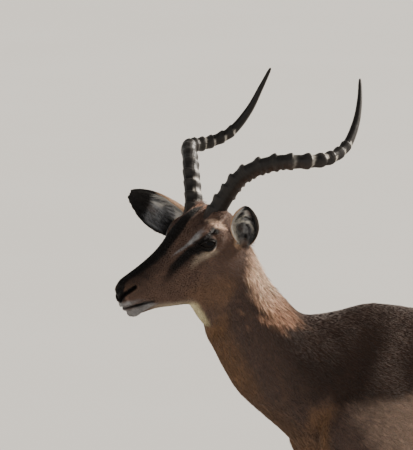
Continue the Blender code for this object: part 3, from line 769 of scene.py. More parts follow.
# Marks on the face: colour, softness of the edge in mm, then stops of forward, out, up and radius in mm,
# and strength.
faceMarks = (
    ("cheek", 30, (
        (120, 28, -95, 18, 0.6), (80, 34, -120, 30, 0.7),
    )),
    ("rust", 8, (
        (12, 0, 10, 6, 0), (2, 12, 10, 10, 0.8),
    )),
    ("sunlit", 7, (
        (28.5, 38, -3, 2, 0.7), (25.4, 45.5, -5.8, 4.5, 0.9), (22, 47.5, -12.5, 5.5, 1),
        (16, 42.3, -23.4, 5.5, 1), (9.3, 38.4, -32.2, 5, 0.9),
    )),
    ("rust", 6, (
        (16, 48, -21, 2, 0.7), (3, 46, -30, 2, 0.7),
    )),
    ("cheek", 6, (
        (212, 13, 5, 3, 0.7), (200, 18, 2, 3, 0.5), (188, 21, -3, 2, 0.1),
    )),
    ("soot", 30, (
        (205, 0, 4, 16, 0.6), (170, 0, 0, 22, 0.8), (120, 0, 4, 20, 0.5),
    )),
    ("cream", 12, (
        (48, 43, -54, 3, 0.4), (62, 40, -48, 5, 0.5), (78, 38, -41, 5, 0.45), (98, 34, -44, 3, 0.2),
    )),
    ("grey", 3.5, (
        (113, 22.6, -10.7, 0.5, 0.1), (100, 25, -11.2, 1.3, 0.8), (85, 31, -12, 2, 1),
        (70, 37, -11, 3.4, 1), (59.9, 44.1, -7.8, 4.6, 0.9), (50, 47, -5, 4, 0.3),
    )),
    # The next two marks are the dark patch above the eye: partly dark hair, partly painted shade under the
    # brow.
    ("soot", 6, (
        (82, 34, -18.5, 3, 0.9), (68, 42, -19, 5, 0.95), (54, 47, -18, 5.5, 0.9),
    )),
    ("black", 7, (
        (56, 47, -18.5, 4, 0.8), (46, 49, -18.5, 7, 1), (36, 50, -18.5, 9, 1), (28, 48, -25, 6, 1),
    )),
    ("soot", 14, (
        (90, 33, -26.2, 9, 0.8), (120, 26, -29, 9, 0.75), (145, 24, -34, 6, 0.45), (165, 23, -40, 3, 0),
    )),
    ("black", 5, (
        (67, 39, -26, 5, 1), (87.9, 33, -24, 7, 1), (105.4, 29, -25, 7.2, 1), (122.1, 26, -26.5, 6, 0.8),
        (137.8, 25, -30.5, 4, 0.35),
    )),
    ("grey", 5, (
        (224.5, 0, -19, 7, 0.9), (220, 12, -19, 6, 0.8), (207.7, 19, -25, 3, 0.3),
        (190, 19, -37, 1.5, 0.1),
    )),
    ("grey", 6, (
        (224, 0, -39, 13, 0.75), (210, 14, -42, 11.5, 0.75), (192, 17, -52, 6.5, 0.8),
        (182, 15, -59, 2.5, 0.4),
    )),
    ("soot", 5, (
        (215, 16, -33, 2, 0.5), (204, 17, -41, 2.2, 0.4),
    )),
    ("straw", 4, (
        (170, 8, -72, 1, 0.3), (130, 8, -99, 1.4, 0.5), (110, 6, -115, 2, 0.3),
    )),
    ("black", 3, (
        (228.5, 0, -23.8, 2.8, 1), (222.8, 13, -25.8, 3, 1), (211, 17.5, -31.4, 3.2, 1),
        (198.2, 18.8, -38.4, 3.2, 1), (182.5, 17.5, -49.4, 2.4, 1),
    )),
    ("black", 3, (
        (196.2, 16.5, -3, 4.8, 1), (207.5, 15.5, -1.2, 5.6, 1), (216.5, 11.5, -2.6, 5.2, 1),
        (223.5, 6.5, -6, 4.6, 1), (226.2, 0, -9.5, 5, 1),
    )),
    ("black", 6, (
        (219, 0, 2, 8, 1), (223, 0, -8, 5, 1),
    )),
)
blaze = (  # forward, and half width there
    (-0.02, 0.003), (0.004, 0.005), (0.02, 0.0105), (0.045, 0.0135), (0.068, 0.017), (0.098, 0.015),
    (0.123, 0.0145), (0.175, 0.012), (0.205, 0.0105), (0.23, 0.015),
)


def lay(colour, hue, share):  # a named hue or a hex laid over the colour by a share for each point
    return colour + (linear(hues.get(hue, hue)) - colour) * np.clip(share, 0, 1)[..., None]


def waves(points, size, seed):  # a soft uneven field from -1 to 1, whose swells are about size across
    rng = np.random.default_rng(seed)
    total = np.zeros(len(points))
    for _ in range(7):
        way = unit(rng.normal(size=3)) * 2 * math.pi / size * rng.uniform(0.7, 1.5)
        total += np.sin(points @ way + rng.uniform(0, 6.28))
    return total / 3.5


def stepBack(points, kind, side):  # how far a leg's point has been moved by its stride
    return stride[(kind, side)] * np.clip(1 - points[:, 2] / stepTop[kind], 0, 1)


def napeShare(points, normals):  # 1 on the upper side of the neck, up to the withers
    x = points[:, 0] + 0.6 * (points[:, 2] - 0.8)
    up = normals @ np.array((0.62, 0.0, 0.78)) + 0.12 * waves(points, 0.03, 9)
    low = points[:, 2] + 0.01 * waves(points, 0.02, 10)
    behind = ramp(-0.05, -0.1, x) * ramp(0.0, -0.03, headAhead(points))
    return ramp(-0.1, 0.3, up) * ramp(0.872, 0.902, low) * behind


def shaggy(points, normals):  # 1 where the hair is longer and stands out: on the nape and the temples
    face = halfFace(points)
    temple, _ = alongStops(face, ((0.022, 0.047, -0.0125), (0.016, 0.042, -0.0234), (0.009, 0.038, -0.0322)))
    return np.maximum(napeShare(points, normals), 0.5 * ramp(0.009, 0.004, temple))


def coatColour(points, normals):
    x, y, z = points.T
    out, inward = np.abs(y), -normals[:, 1] * np.sign(y)
    face = halfFace(points)
    uneven = waves(points, 0.05, 3) * 0.6 + waves(points, 0.017, 4) * 0.4
    colour = np.repeat(linear(hues["flank"])[None, :], len(points), 0)

    edge = 0.76 + 0.006 * np.sin(13 * x) + 0.03 * ramp(0.5, 0.66, x) + 0.006 * uneven
    front = x + 0.6 * (z - 0.8)
    saddle = ramp(edge - 0.014, edge + 0.012, z) * ramp(-0.2, -0.1, front)
    neck = ramp(-0.03, -0.12, front + 0.02 * uneven)
    colour = lay(colour, "neck", np.maximum(neck, 0.65 * ramp(0.05, -0.07, x) * ramp(0.66, 0.72, z)))
    # Painted bounced light: a warm brown where the chest and the front of the neck face forward.
    chest = ramp(0.35, 0.9, -normals[:, 0]) * ramp(0.02, -0.06, x) * ramp(0.56, 0.62, z) * 0.8
    colour = lay(colour, "chest", chest)
    colour = lay(colour, "saddle", saddle * 0.96)
    nape = napeShare(points, normals)
    # Rust for the nape's reddish hair, then painted sunlight on it, strongest along the top of the neck.
    colour = lay(colour, "rust", nape * 0.7)
    colour = lay(colour, "sunlit", nape * (0.35 + 0.6 * ramp(0.9, 0.96, z)))
    haunch = ramp(0.4, 0.52, x) * ramp(0.86, 0.76, z) * ramp(0.6, 0.68, z)
    colour = lay(colour, "cheek", haunch * 0.45)
    colour = lay(colour, "black", ramp(0.02, 0.004, out) * ramp(0.45, 0.6, x) * ramp(0.87, 0.9, z) * 0.6)

    leg = ramp(0.6, 0.5, z)
    colour = lay(colour, "leg", leg)
    belly = ramp(0.25, 0.62, -normals[:, 2] + 0.05 * uneven) * ramp(0.66, 0.6, z)
    belly = belly * ramp(-0.03, 0.02, x) * ramp(0.48, 0.53, z)
    colour = lay(colour, "white", belly)
    inner = ramp(0.15, 0.6, inward + 0.05 * uneven) * ramp(0.16, 0.3, z) * ramp(0.74, 0.62, z)
    colour = lay(colour, "white", inner * ramp(-0.1, 0.0, x) * 0.92)
    colour = lay(colour, "cream", leg * ramp(0.3, 0.8, inward) * 0.5)

    wide = 0.012 + 0.028 * ramp(0.875, 0.79, z) + 0.012 * ramp(0.74, 0.64, z) + 0.002 * uneven
    rump = ramp(wide + 0.007, wide - 0.004, out) * ramp(0.15, 0.45, normals[:, 0]) * ramp(0.6, 0.65, x)
    colour = lay(colour, "white", rump * ramp(0.56, 0.64, z) * ramp(0.88, 0.855, z))
    streak, read = alongStops(
        np.stack((x, out, z), axis=1),
        ((0.64, 0.05, 0.85, 0.005, 0.4), (0.672, 0.056, 0.79, 0.0085, 1), (0.672, 0.062, 0.72, 0.008, 1),
         (0.65, 0.07, 0.65, 0.004, 0.2)),
    )
    colour = lay(colour, "black", ramp(read[:, 0] + 0.004, read[:, 0] - 0.003, streak) * read[:, 1])
    tail = ramp(0.69, 0.7, x) * (out < 0.04) * (z > 0.5)
    colour = lay(colour, "white", tail * 0.9)
    colour = lay(colour, "soot", tail * ramp(0.011, 0.006, out) * ramp(0.1, 0.5, normals[:, 0]))

    for side in (-1, 1):
        for kind, stops, none, full, share in (
            ("hind", ((0.67, 0.176), (0.671, 0.128)), 0.015, 0.009, 0.97),
            ("hind", ((0.668, 0.098), (0.655, 0.074)), 0.012, 0.006, 0.9),
            ("fore", ((0.015, 0.098), (0.008, 0.074)), 0.011, 0.005, 0.9),
        ):
            away, _ = alongStops(np.stack((x - stepBack(points, kind, side), z), axis=1), stops)
            colour = lay(colour, "black", (y * side > 0.01) * ramp(none, full, away) * share)
    colour = lay(colour, "soot", ramp(0.056, 0.049, z) * 0.8)

    head = ramp(-0.03, 0.02, headAhead(points))
    colour = lay(colour, "head", head)
    under = head * ramp(0.3, 0.75, -normals[:, 2]) * ramp(0.018, 0.01, out) * ramp(0.2, 0.18, face[:, 0])
    colour = lay(colour, "cream", under * 0.35)
    throat, _ = alongStops(face * (1, 0.8, 1), ((0.128, 0.0, -0.12), (0.13, 0.0, -0.146)))
    colour = lay(colour, "straw", ramp(0.021, 0.006, throat + 0.003 * uneven) * 0.9)
    for hue, soft, stops in faceMarks:
        away, read = alongStops(face * 1000, stops)
        away = away + 0.12 * soft * uneven
        mark = ramp(read[:, 0] + soft / 2, read[:, 0] - soft / 2, away) * read[:, 1]
        colour = lay(colour, hue, mark * (head > 0.3))
    wide = np.interp(face[:, 0], *zip(*blaze))
    upper = ramp(-0.02, -0.004, face[:, 2]) * (head > 0.3) * ramp(0.0, 0.014, face[:, 0])
    dark = ramp(wide + 0.003, wide - 0.002, out + 0.0006 * uneven) * upper
    colour = lay(colour, "black", dark * 0.97)

    for side in (-1, 1):
        v, ahead, distance, inside = eyePlace(points, side)
        near = (distance < 0.03) & (ahead > 0.1)
        colour = lay(colour, "black", near * ramp(-0.34, -0.18, inside + 0.1 * (v < 0)))
        colour = earColour(colour, points, side)
    return colour * (1 + 0.1 * uneven[:, None])


# Marks inside the left ear: colour, softness, then stops of the share of its length and of its half
# width, radius as a share of the length, and strength. The right ear has them mirrored.
earMarks = (
    ("white", 0.08, ((0.86, -0.6, 0.05, 0.8), (0.55, -0.85, 0.09, 1), (0.2, -0.8, 0.07, 0.8))),
    ("cheek", 0.1, ((0.84, 0.15, 0.04, 0.7), (0.74, 0.3, 0.07, 0.8))),
    ("black", 0.035, ((0.86, -0.2, 0.014, 0.8), (0.7, -0.36, 0.032, 1), (0.56, -0.46, 0.018, 0.9))),
    ("white", 0.045, ((0.84, -0.02, 0.014, 0.8), (0.66, -0.06, 0.03, 1), (0.52, -0.54, 0.016, 0.9))),
    ("black", 0.035, ((0.61, -0.14, 0.014, 1), (0.57, 0.12, 0.032, 1), (0.57, 0.45, 0.018, 1))),
    ("white", 0.045, ((0.47, -0.4, 0.024, 1), (0.45, 0.15, 0.028, 1), (0.36, 0.6, 0.04, 1))),
    ("head", 0.06, ((0.36, -0.42, 0.04, 0.8), (0.26, -0.32, 0.03, 0.7))),
    ("black", 0.035, ((0.38, 0.0, 0.02, 1), (0.28, 0.22, 0.042, 1), (0.2, 0.26, 0.028, 1))),
    ("black", 0.08, ((0.12, 0.0, 0.07, 1), (0.02, 0.0, 0.09, 1))),
)


def earColour(colour, points, side):
    u, v, outside = earPlace(points, side)
    own = earWall(u, outside, -0.02, 0.1) * (points[:, 1] * side > 0)
    inside = own * ramp(0.0006, -0.0006, outside)
    colour = lay(colour, "nape", own * (1 - inside))
    colour = lay(colour, "grey", inside)
    streaks = np.sin(26 * u + 9 * v * side + 2.0 * np.sin(7 * v + 3)) + 0.6 * np.sin(41 * v + 11 * u)
    colour = lay(colour, "soot", inside * ramp(0.45, 1.1, streaks) * 0.6 * ramp(0.95, 0.7, np.abs(v)))
    for hue, soft, stops in earMarks:
        scaled = [(along, 0.45 * across, *rest) for along, across, *rest in stops]
        away, read = alongStops(np.stack((u, -0.45 * side * v), axis=1), scaled)
        mark = ramp(read[:, 0] + soft / 2, read[:, 0] - soft / 2, away + 0.012 * streaks)
        colour = lay(colour, hue, inside * mark * read[:, 1] * (1 if side < 0 else 0.5))
    if side < 0:
        rim = ramp(0.2, 0.32, v - 0.62 * ramp(0.74, 0.36, u)) * ramp(0.12, 0.24, u)
        tip = ramp(0.86, 0.92, u) * ramp(-0.7, -0.3, v)
    else:
        rim = ramp(0.84, 0.92, -v) * ramp(0.1, 0.2, u)
        rim = np.maximum(rim, inside * ramp(0.12, 0.34, -v) * ramp(0.6, 0.48, u) * ramp(0.0, 0.1, u))
        tip = ramp(0.71, 0.79, u + 0.05 * v * v)
    return lay(colour, "black", own * np.maximum(rim, tip) * 0.97)


# ---- materials
mm = 0.001


def addNode(tree, kind, inputs=(), **settings):  # a node with its settings; an input is a value or a socket
    made = tree.nodes.new("ShaderNode" + kind)
    for name, value in settings.items():
        setattr(made, name, value)
    for name, value in dict(inputs).items():
        if isinstance(value, bpy.types.NodeSocket):
            tree.links.new(value, made.inputs[name])
        else:
            made.inputs[name].default_value = value
    return made


def newMaterial(name, **constants):  # an empty Principled material with its constant sockets set
    material = bpy.data.materials.new(name)
    material.use_nodes = True
    tree = material.node_tree
    shader = tree.nodes["Principled BSDF"]
    for socket, value in constants.items():
        shader.inputs[socket.replace("_", " ")].default_value = value
    return material, tree, shader, addNode(tree, "TexCoord").outputs["Object"]


def colourOf(hexColour):
    return (*linear(hexColour), 1)


# The mesh's own tint, taken from dark to light as the share goes from start to end.
def tinted(tree, share, start, end, dark, light):
    tint = addNode(tree, "Attribute", attribute_name="tint").outputs["Color"]
    limits = {"From Min": start, "From Max": end, "To Min": dark, "To Max": light}
    value = addNode(tree, "MapRange", {"Value": share, **limits}).outputs["Result"]
    return addNode(tree, "HueSaturation", {"Color": tint, "Value": value}).outputs["Color"]


# Links a colour, a roughness that goes between two values with a share, and a bump of a depth in mm.
def finishWith(tree, shader, shade, rough, bump=None):
    tree.links.new(shade, shader.inputs["Base Color"])
    share, smooth, coarse = rough
    value = addNode(tree, "MapRange", {"Value": share, "To Min": smooth, "To Max": coarse})
    tree.links.new(value.outputs["Result"], shader.inputs["Roughness"])
    if bump:
        share, strength, depth = bump
        relief = addNode(tree, "Bump", {"Height": share, "Strength": strength, "Distance": depth * mm})
        tree.links.new(relief.outputs["Normal"], shader.inputs["Normal"])


# Short dense hair lying flat: matt, softly uneven from lock to lock, with a faint silky edge light. Where
# bare is 1 it is moist skin.
def shortCoat():
    material, tree, shader, where = newMaterial(
        "short coat", IOR=1.4, Specular_IOR_Level=0.12, Sheen_Weight=0.01, Sheen_Roughness=0.5
    )
    locks = addNode(tree, "TexNoise", {"Vector": where, "Scale": 1 / (9 * mm), "Detail": 3.0}).outputs["Fac"]
    hairs = {"Vector": where, "Scale": 1 / (1.6 * mm), "Detail": 4.0}
    hairs = addNode(tree, "TexNoise", hairs).outputs["Fac"]
    share = addNode(tree, "Math", {0: locks, 1: hairs}, operation="MULTIPLY").outputs[0]
    bare = addNode(tree, "Attribute", attribute_name="bare").outputs["Fac"]
    shade = tinted(tree, share, 0.12, 0.42, 0.74, 1.22)
    finishWith(tree, shader, shade, (bare, 0.72, 0.34), (share, 0.55, 0.9))
    return material


# Locks of hair: uneven from one to the next, with a soft gloss along them.
def hairLocks():
    material, tree, shader, where = newMaterial(
        "hair locks", IOR=1.42, Specular_IOR_Level=0.3, Sheen_Weight=0.05, Sheen_Roughness=0.4
    )
    fine = addNode(tree, "TexNoise", {"Vector": where, "Scale": 1 / (2.5 * mm), "Detail": 2.0}).outputs["Fac"]
    finishWith(tree, shader, tinted(tree, fine, 0.3, 0.7, 0.82, 1.18), (fine, 0.72, 0.54))
    return material


# Horn sheath: near-black keratin, polished on the crests, dusty and finely scored between them. The pale
# bands of its tint are partly dust and partly painted sunlight.
def hornSheath():
    material, tree, shader, where = newMaterial("horn sheath", IOR=1.55, Specular_IOR_Level=0.2)
    along = addNode(tree, "UVMap", uv_map="growth").outputs["UV"]
    scores = addNode(tree, "Mapping", {"Vector": along, "Scale": (6.0, 90.0, 1.0)}).outputs["Vector"]
    grain = addNode(tree, "TexNoise", {"Vector": scores, "Scale": 1.0, "Detail": 5.0}).outputs["Fac"]
    dust = addNode(tree, "TexNoise", {"Vector": where, "Scale": 1 / (7 * mm), "Detail": 4.0}).outputs["Fac"]
    share = addNode(tree, "Math", {0: grain, 1: dust}, operation="MULTIPLY").outputs[0]
    shade = tinted(tree, share, 0.1, 0.45, 0.65, 1.5)
    finishWith(tree, shader, shade, (dust, 0.34, 0.62), (grain, 0.5, 0.5))
    return material


# Hoof wall: dark keratin with faint growth bands and a worn, slightly dusty surface.
def hoofWall():
    material, tree, shader, where = newMaterial("hoof wall", IOR=1.55)
    bands = {"Vector": where, "Scale": 1 / (20 * mm), "Distortion": 1.5, "Detail": 2.0}
    bands = addNode(tree, "TexWave", bands, bands_direction="Z").outputs["Fac"]
    dust = addNode(tree, "TexNoise", {"Vector": where, "Scale": 1 / (5 * mm), "Detail": 4.0}).outputs["Fac"]
    share = addNode(tree, "Math", {0: bands, 1: dust}, operation="MULTIPLY").outputs[0]
    colours = {0: share, 6: colourOf("1b1715"), 7: colourOf("5c5048")}
    shade = addNode(tree, "Mix", colours, data_type="RGBA").outputs[2]
    finishWith(tree, shader, shade, (dust, 0.35, 0.65), (share, 0.4, 0.4))
    return material


# Eyeball: a dark iris and a level pupil under a clear wet cornea.
def wetEye():
    material, tree, shader, where = newMaterial(
        "wet eye", Specular_IOR_Level=0.0, Coat_Weight=0.35, Coat_Roughness=0.03, Coat_IOR=1.34
    )
    fibres = {"Vector": where, "Scale": 1 / (0.8 * mm), "Detail": 3.0}
    fibres = addNode(tree, "TexNoise", fibres).outputs["Fac"]
    finishWith(tree, shader, tinted(tree, fibres, 0.0, 1.0, 0.6, 1.4), (fibres, 0.1, 0.22))
    return material


# Bare dark skin of the lids: smooth, slightly moist and finely wrinkled.
def bareSkin():
    material, tree, shader, where = newMaterial("bare dark skin", IOR=1.4, Specular_IOR_Level=0.2)
    wrinkles = {"Vector": where, "Scale": 1 / (1.2 * mm), "Detail": 3.0}
    wrinkles = addNode(tree, "TexNoise", wrinkles).outputs["Fac"]
    colours = {0: wrinkles, 6: colourOf("0b0908"), 7: colourOf("1d1714")}
    shade = addNode(tree, "Mix", colours, data_type="RGBA").outputs[2]
    finishWith(tree, shader, shade, (wrinkles, 0.28, 0.5), (wrinkles, 0.4, 0.3))
    return material


coatFinish, lockFinish, hornFinish = shortCoat(), hairLocks(), hornSheath()
hoofFinish, eyeFinish, lidFinish = hoofWall(), wetEye(), bareSkin()


# ---- skin, finished
def bareShare(points):  # 1 where there is no hair: the nose between the nostrils and inside them
    face = halfFace(points)
    away, _ = alongStops(face, nostril)
    nose = ramp(0.2185, 0.2215, face[:, 0]) * ramp(-0.02, -0.016, face[:, 2])
    lips, _ = alongStops(face, mouth)
    bare = np.maximum(ramp(0.006, 0.0035, away), np.maximum(nose, ramp(0.0026, 0.0016, lips)))
    for side in (-1, 1):
        _, ahead, distance, inside = eyePlace(points, side)
        bare = np.maximum(bare, (distance < 0.03) * (ahead > 0.1) * ramp(-0.14, -0.07, inside))
    return bare


straightNormals = meshNormals(skinMesh)
skinColour = coatColour(straight, straightNormals)
setColour(skinMesh, skinColour)
bareLayer = skinMesh.attributes.new("bare", "FLOAT", "POINT")
bareLayer.data.foreach_set("value", bareShare(straight).astype(np.float32))
putPoints(skinMesh, setDown(straight, onEar(straight)))
fleshNodes = ["head", "neck", "trunk", "tail"]
fleshNodes += [f"{part}_{word}" for part in ("foreleg", "hindleg", "ear") for _, word in bothSides]
newPiece("skin", skinMesh, coatFinish, fleshNodes)


# ---- eyes and lids
# A ball whose front swells into the cornea; the iris is round the looking axis and the pupil is level.
def makeEye(side, word):
    middle, along, short, looks = eyeFrame(side)
    turn = fullTurn(96)
    bend = np.linspace(0.02, math.pi - 0.02, 72)[:, None]
    radius = eye["radius"] * (1 + 0.05 * np.exp(-((bend / 0.62) ** 4)))
    u, v, w = np.sin(bend) * np.cos(turn), np.sin(bend) * np.sin(turn), np.cos(bend) + 0 * turn
    rings = middle + (radius * u)[..., None] * along + (radius * v)[..., None] * short
    rings = rings + (radius * w)[..., None] * looks
    points, quads, triangles = closedTube(rings)
    way = unit(points - middle)
    u, v = way @ along, way @ short
    fromAxis = np.hypot(u, v) + (way @ looks < 0) * 2
    colour = np.repeat(linear(eye["ball"])[None, :], len(points), 0)
    iris = ramp(0.66, 0.62, fromAxis)
    colour = lay(colour, eye["iris"], iris)
    rays = 0.5 + 0.5 * np.sin(np.arctan2(v, u) * 46)
    colour = colour * (1 + 0.25 * (rays * iris)[:, None])
    limbus = bell(fromAxis - 0.64, 0.05)
    colour = colour * (1 - 0.7 * limbus[:, None])
    colour = lay(colour, eye["pupil"], ramp(1.1, 0.95, np.hypot(u / 0.34, v / 0.15)))
    mesh = newMesh("eye", setDown(points, 1.0), quads, triangles)
    setColour(mesh, colour)
    outwards(mesh)
    newPiece(f"eyeball_{word}", mesh, eyeFinish, [f"eye_{word}"])


def ringTube(line, radius, sides=10):  # a closed tube round a closed line of points
    ahead = unit(np.roll(line, -1, axis=0) - np.roll(line, 1, axis=0))
    first = unit(np.cross(ahead, unit(line.mean(axis=0) - line)))
    second = np.cross(ahead, first)
    turn = fullTurn(sides)[..., None]
    around = np.cos(turn) * first[:, None, :] + np.sin(turn) * second[:, None, :]
    rings = line[:, None, :] + around * radius
    count = len(line)
    i, j = np.meshgrid(np.arange(count), np.arange(sides), indexing="ij")
    nextI, nextJ = (i + 1) % count, (j + 1) % sides
    quads = np.stack((i * sides + j, i * sides + nextJ, nextI * sides + nextJ, nextI * sides + j), axis=-1)
    return rings.reshape(-1, 3), quads.reshape(-1, 4)


def lidEdge(side, count=90, over=0.0009):  # the closed line of both lids' edges, over the ball
    middle, along, short, looks = eyeFrame(side)
    rear, front = eye["opening"][0], eye["opening"][1]
    t = 0.5 - 0.5 * np.cos(np.linspace(0, math.pi, count // 2, endpoint=False))
    upperU, lowerU = rear + (front - rear) * t, front + (rear - front) * t
    u = np.concatenate((upperU, lowerU))
    v = np.concatenate((lidLines(upperU)[0], lidLines(lowerU)[1]))
    w = np.sqrt(np.clip(1 - u * u - v * v, 0.02, 1))
    way = unit(u[:, None] * along + v[:, None] * short + w[:, None] * looks)
    return middle + way * (eye["radius"] + over)


def makeLids(side, word):
    points, quads = ringTube(lidEdge(side), 0.00125)
    mesh = newMesh("lid", setDown(points, 1.0), quads)
    outwards(mesh)
    newPiece(f"lid_rim_{word}", mesh, lidFinish)


for side, word in bothSides:
    makeEye(side, word)
    makeLids(side, word)
print("eyes and lids")

# ---- horns
horn = {
    "line": (  # out, back and up from the crown, base to tip
        (0.026, -0.004, -0.024),
        (0.036, 0.005, -0.001),
        (0.055, 0.015, 0.029),
        (0.08, 0.028, 0.059),
        (0.109, 0.045, 0.0755),
        (0.139, 0.062, 0.084),
        (0.163, 0.081, 0.086),
        (0.177, 0.107, 0.0868),
        (0.18, 0.139, 0.091),
        (0.173, 0.172, 0.105),
        (0.161, 0.203, 0.142),
        (0.148, 0.221, 0.184),
        (0.134, 0.2315, 0.218),
    ),
    "radius": (  # share of the length, mm
        (0, 16.5), (0.1, 14.6), (0.17, 13.9), (0.36, 12.8), (0.5, 10.9), (0.57, 9.9), (0.7, 8.4), (0.79, 7.2),
        (0.85, 5.9), (0.91, 4.7), (0.977, 3.2), (1, 2.1),
    ),
    "length": 430,  # mm, which the rings and the teeth are placed along
    "sides": 54,
    "rings": (24, 45, 68, 88, 110, 138, 167, 194, 221, 244, 263, 285, 304),  # crests
    "height": (2.8, 3.4, 3.9, 4.3, 4.6, 4.9, 5.0, 4.6, 4.2, 3.6, 3.0, 2.6, 2.0),  # mm
    "teeth": (62, 78, 92, 108, 121, 138, 151, 168, 182),  # small crests of the inner side
    "base": "1b1816",
    "root": "4a3a2e",
    "crest": "3c3835",
    # pale between the crests: partly dust, partly painted sunlight
    "valleyDustAndSunlight": "bcb5aa",
    # painted highlight: sunlight on the back of the tip
    "tipHighlight": "8f8a84",
    "glow": "3b261b",
}


def hornLine(side):  # points evenly along a horn, the ways outwards and to the front there, and the share
    rows = smoothRows([(back, up, back, up, out) for out, back, up in horn["line"]], 900)
    line = np.stack((rows[:, 0], side * rows[:, 4], rows[:, 1]), axis=1)
    length = np.concatenate(([0], np.cumsum(np.linalg.norm(np.diff(line, axis=0), axis=1))))
    s = np.linspace(0, length[-1], 560)
    line = np.stack([np.interp(s, length, line[:, k]) for k in range(3)], axis=1)
    ahead = unit(np.gradient(line, axis=0))
    outer = unit(np.array((0, side, 0)) - (ahead[:, 1:2] * side) * ahead)
    return line, outer, np.cross(ahead, outer), s / s[-1]


def wander(rng, angle, counts):  # for each count an uneven wave round the horn
    return [rng.uniform(-1, 1) * np.sin(k * angle + rng.uniform(0, 6.28)) for k in counts]


# Each crest rises slowly from the base and drops steeply towards the tip; it is highest on the front,
# slants a little, and wavers round the horn. The pale valley behind it is partly dust and partly painted
# sunlight on the sides facing the key light; it has a jagged edge: near the base it shows at the back only,
# and past the bend all round. The teeth get the same painted highlight.
def hornRings(side, at, angle, rng):
    crest = np.zeros((len(at), angle.shape[1]))
    valleyDustAndSunlight = np.zeros(crest.shape)
    facing = 0.5 + 0.5 * np.cos(angle - 0.84 * math.pi)
    behind = np.cos(angle - (1.02 if side < 0 else 1.2) * math.pi)
    for ring, height in zip(horn["rings"], horn["height"]):
        waver = sum(wave / k for k, wave in zip((1, 2, 3, 4), wander(rng, angle, (1, 2, 3, 4))))
        past = at - ring - 3.0 * np.cos(angle - 0.6) - 1.1 * waver
        shape = ramp(-13, -0.8, past) * ramp(3.2, 0.5, past)
        full = ramp(150, 215, ring)
        around = 0.06 + 0.44 * full + (0.94 - 0.44 * full) * facing**2
        crest += shape * height * around * (1 + 0.12 * waver)
        jag = sum(wander(rng, angle, (6, 9, 13))) / 2
        rear = ramp(0.4, 0.8, behind + 0.22 * waver + 0.25 * jag) * (1 - 0.3 * full)
        wide = (1.2 + 1.9 * (0.5 + 0.5 * np.sin(angle))) * full + 3.6 * (1 - full)
        some = ramp(-1.2 + 2.2 * ramp(215, 245, ring), 1.0, np.sin(angle) + 0.8 * full)
        some = ramp(175, 225, ring) * some
        valleyDustAndSunlight += bell(past + 1.2 * jag - 2.6 - 0.7 * wide, wide) * np.maximum(rear, some)
    for ring in horn["teeth"]:
        past = at - ring - rng.uniform(-2, 2) - 2.5 * np.sin(angle * 2)
        tooth = bell(past, 2.3) * np.clip(np.cos(angle + 0.25 * math.pi), 0, 1) ** 3
        crest += 2.4 * tooth
        # a painted highlight of sunlight on the teeth at the back
        valleyDustAndSunlight += 0.9 * tooth * ramp(0.8, 0.97, np.cos(angle - 1.53 * math.pi)) * ramp(170, 130, ring)
    return crest, valleyDustAndSunlight


# The horn's size is its girth, the crests, long scores and fine growth lines, closed round at the tip.
def makeHorn(side, word):
    line, outer, front, share = hornLine(side)
    at = (share * horn["length"])[:, None]
    angle = fullTurn(horn["sides"])
    rng = np.random.default_rng(11 + side)
    crest, valleyDustAndSunlight = hornRings(side, at, angle, rng)
    scores = 0
    for k in range(9, 25, 2):
        scores += rng.uniform(0.03, 0.1) * np.sin(k * angle + rng.uniform(0, 6.28) + 1.5 * share[:, None])
    size = np.interp(share, *zip(*horn["radius"]))[:, None] - 0.2
    fine = 0.1 * np.sin(at * 1.7 + 2.5 * np.sin(angle * 2) + 4 * np.sin(at / 17)) * ramp(320, 250, at)
    fine = fine * np.clip(1.2 * np.sin(at / 13 + 2 * np.sin(angle)), 0, 1)
    tip = np.sqrt(np.clip(1 - np.clip((at - 426.5) / 3.5, 0, 1) ** 2, 0.02, 1))
    size = (size + crest + scores * ramp(horn["length"], 250, at) + fine) * tip * mm
    rings = line[:, None, :] + outer[:, None, :] * (np.cos(angle) * size * 0.9)[..., None]
    rings = rings + front[:, None, :] * side * (np.sin(angle) * size * 1.06)[..., None]
    points, quads, triangles = closedTube(rings + np.array((crownX, 0, crownZ)))
    colour = np.broadcast_to(linear(horn["base"]), (*crest.shape, 3))
    colour = lay(colour, horn["root"], 0.3 * ramp(25, 0, at))
    colour = lay(colour, horn["crest"], 0.5 * np.clip(crest / 4, 0, 1))
    # The pale valleys: partly dust, partly painted sunlight.
    colour = lay(colour, horn["valleyDustAndSunlight"], np.clip(valleyDustAndSunlight, 0, 1) * 0.9)
    # A painted highlight of sunlight on the back of the tip.
    tipHighlight = ramp(290, 345, at) * ramp(0.15, 0.95, np.cos(angle - 1.5 * math.pi)) * 0.45
    colour = lay(colour, horn["tipHighlight"], tipHighlight)
    glow = ramp(0.2, 0.9, np.cos(angle - 1.7 * math.pi)) * ramp(40, 90, at) * ramp(270, 200, at) * 0.22
    colour = lay(colour, horn["glow"], glow)
    mesh = newMesh("horn", setDown(points, 1.0), quads, triangles)
    setColour(mesh, np.concatenate((colour.reshape(-1, 3), colour[0, :1], colour[-1, :1])))
    grow = np.stack(np.broadcast_arrays(angle / (2 * math.pi), at / horn["length"]), axis=-1)
    grow = np.concatenate((grow.reshape(-1, 2), [[0, 0], [0, 1]]))
    setUnwrap(mesh, "growth", grow[readRows(mesh.loops, "vertex_index", 1, np.int32).ravel()])
    outwards(mesh)
    newPiece(f"ringed_horn_{word}", mesh, hornFinish, [f"horn_{word}"])


for side, word in bothSides:
    makeHorn(side, word)
print("horns")

# ---- hooves
hoof = {
    "length": 0.056,
    "width": 0.0195,
    "cleft": 0.0036,
    "coronet": 0.0466,  # height of the hair's edge
    "levels": (0, 0.08, 0.64, 1),  # shares of that height, for the next two
    "lean": (0.0012, 0.001, 0.011, 0.0195),
    "swell": (0.97, 1.03, 0.98, 0.9),
}


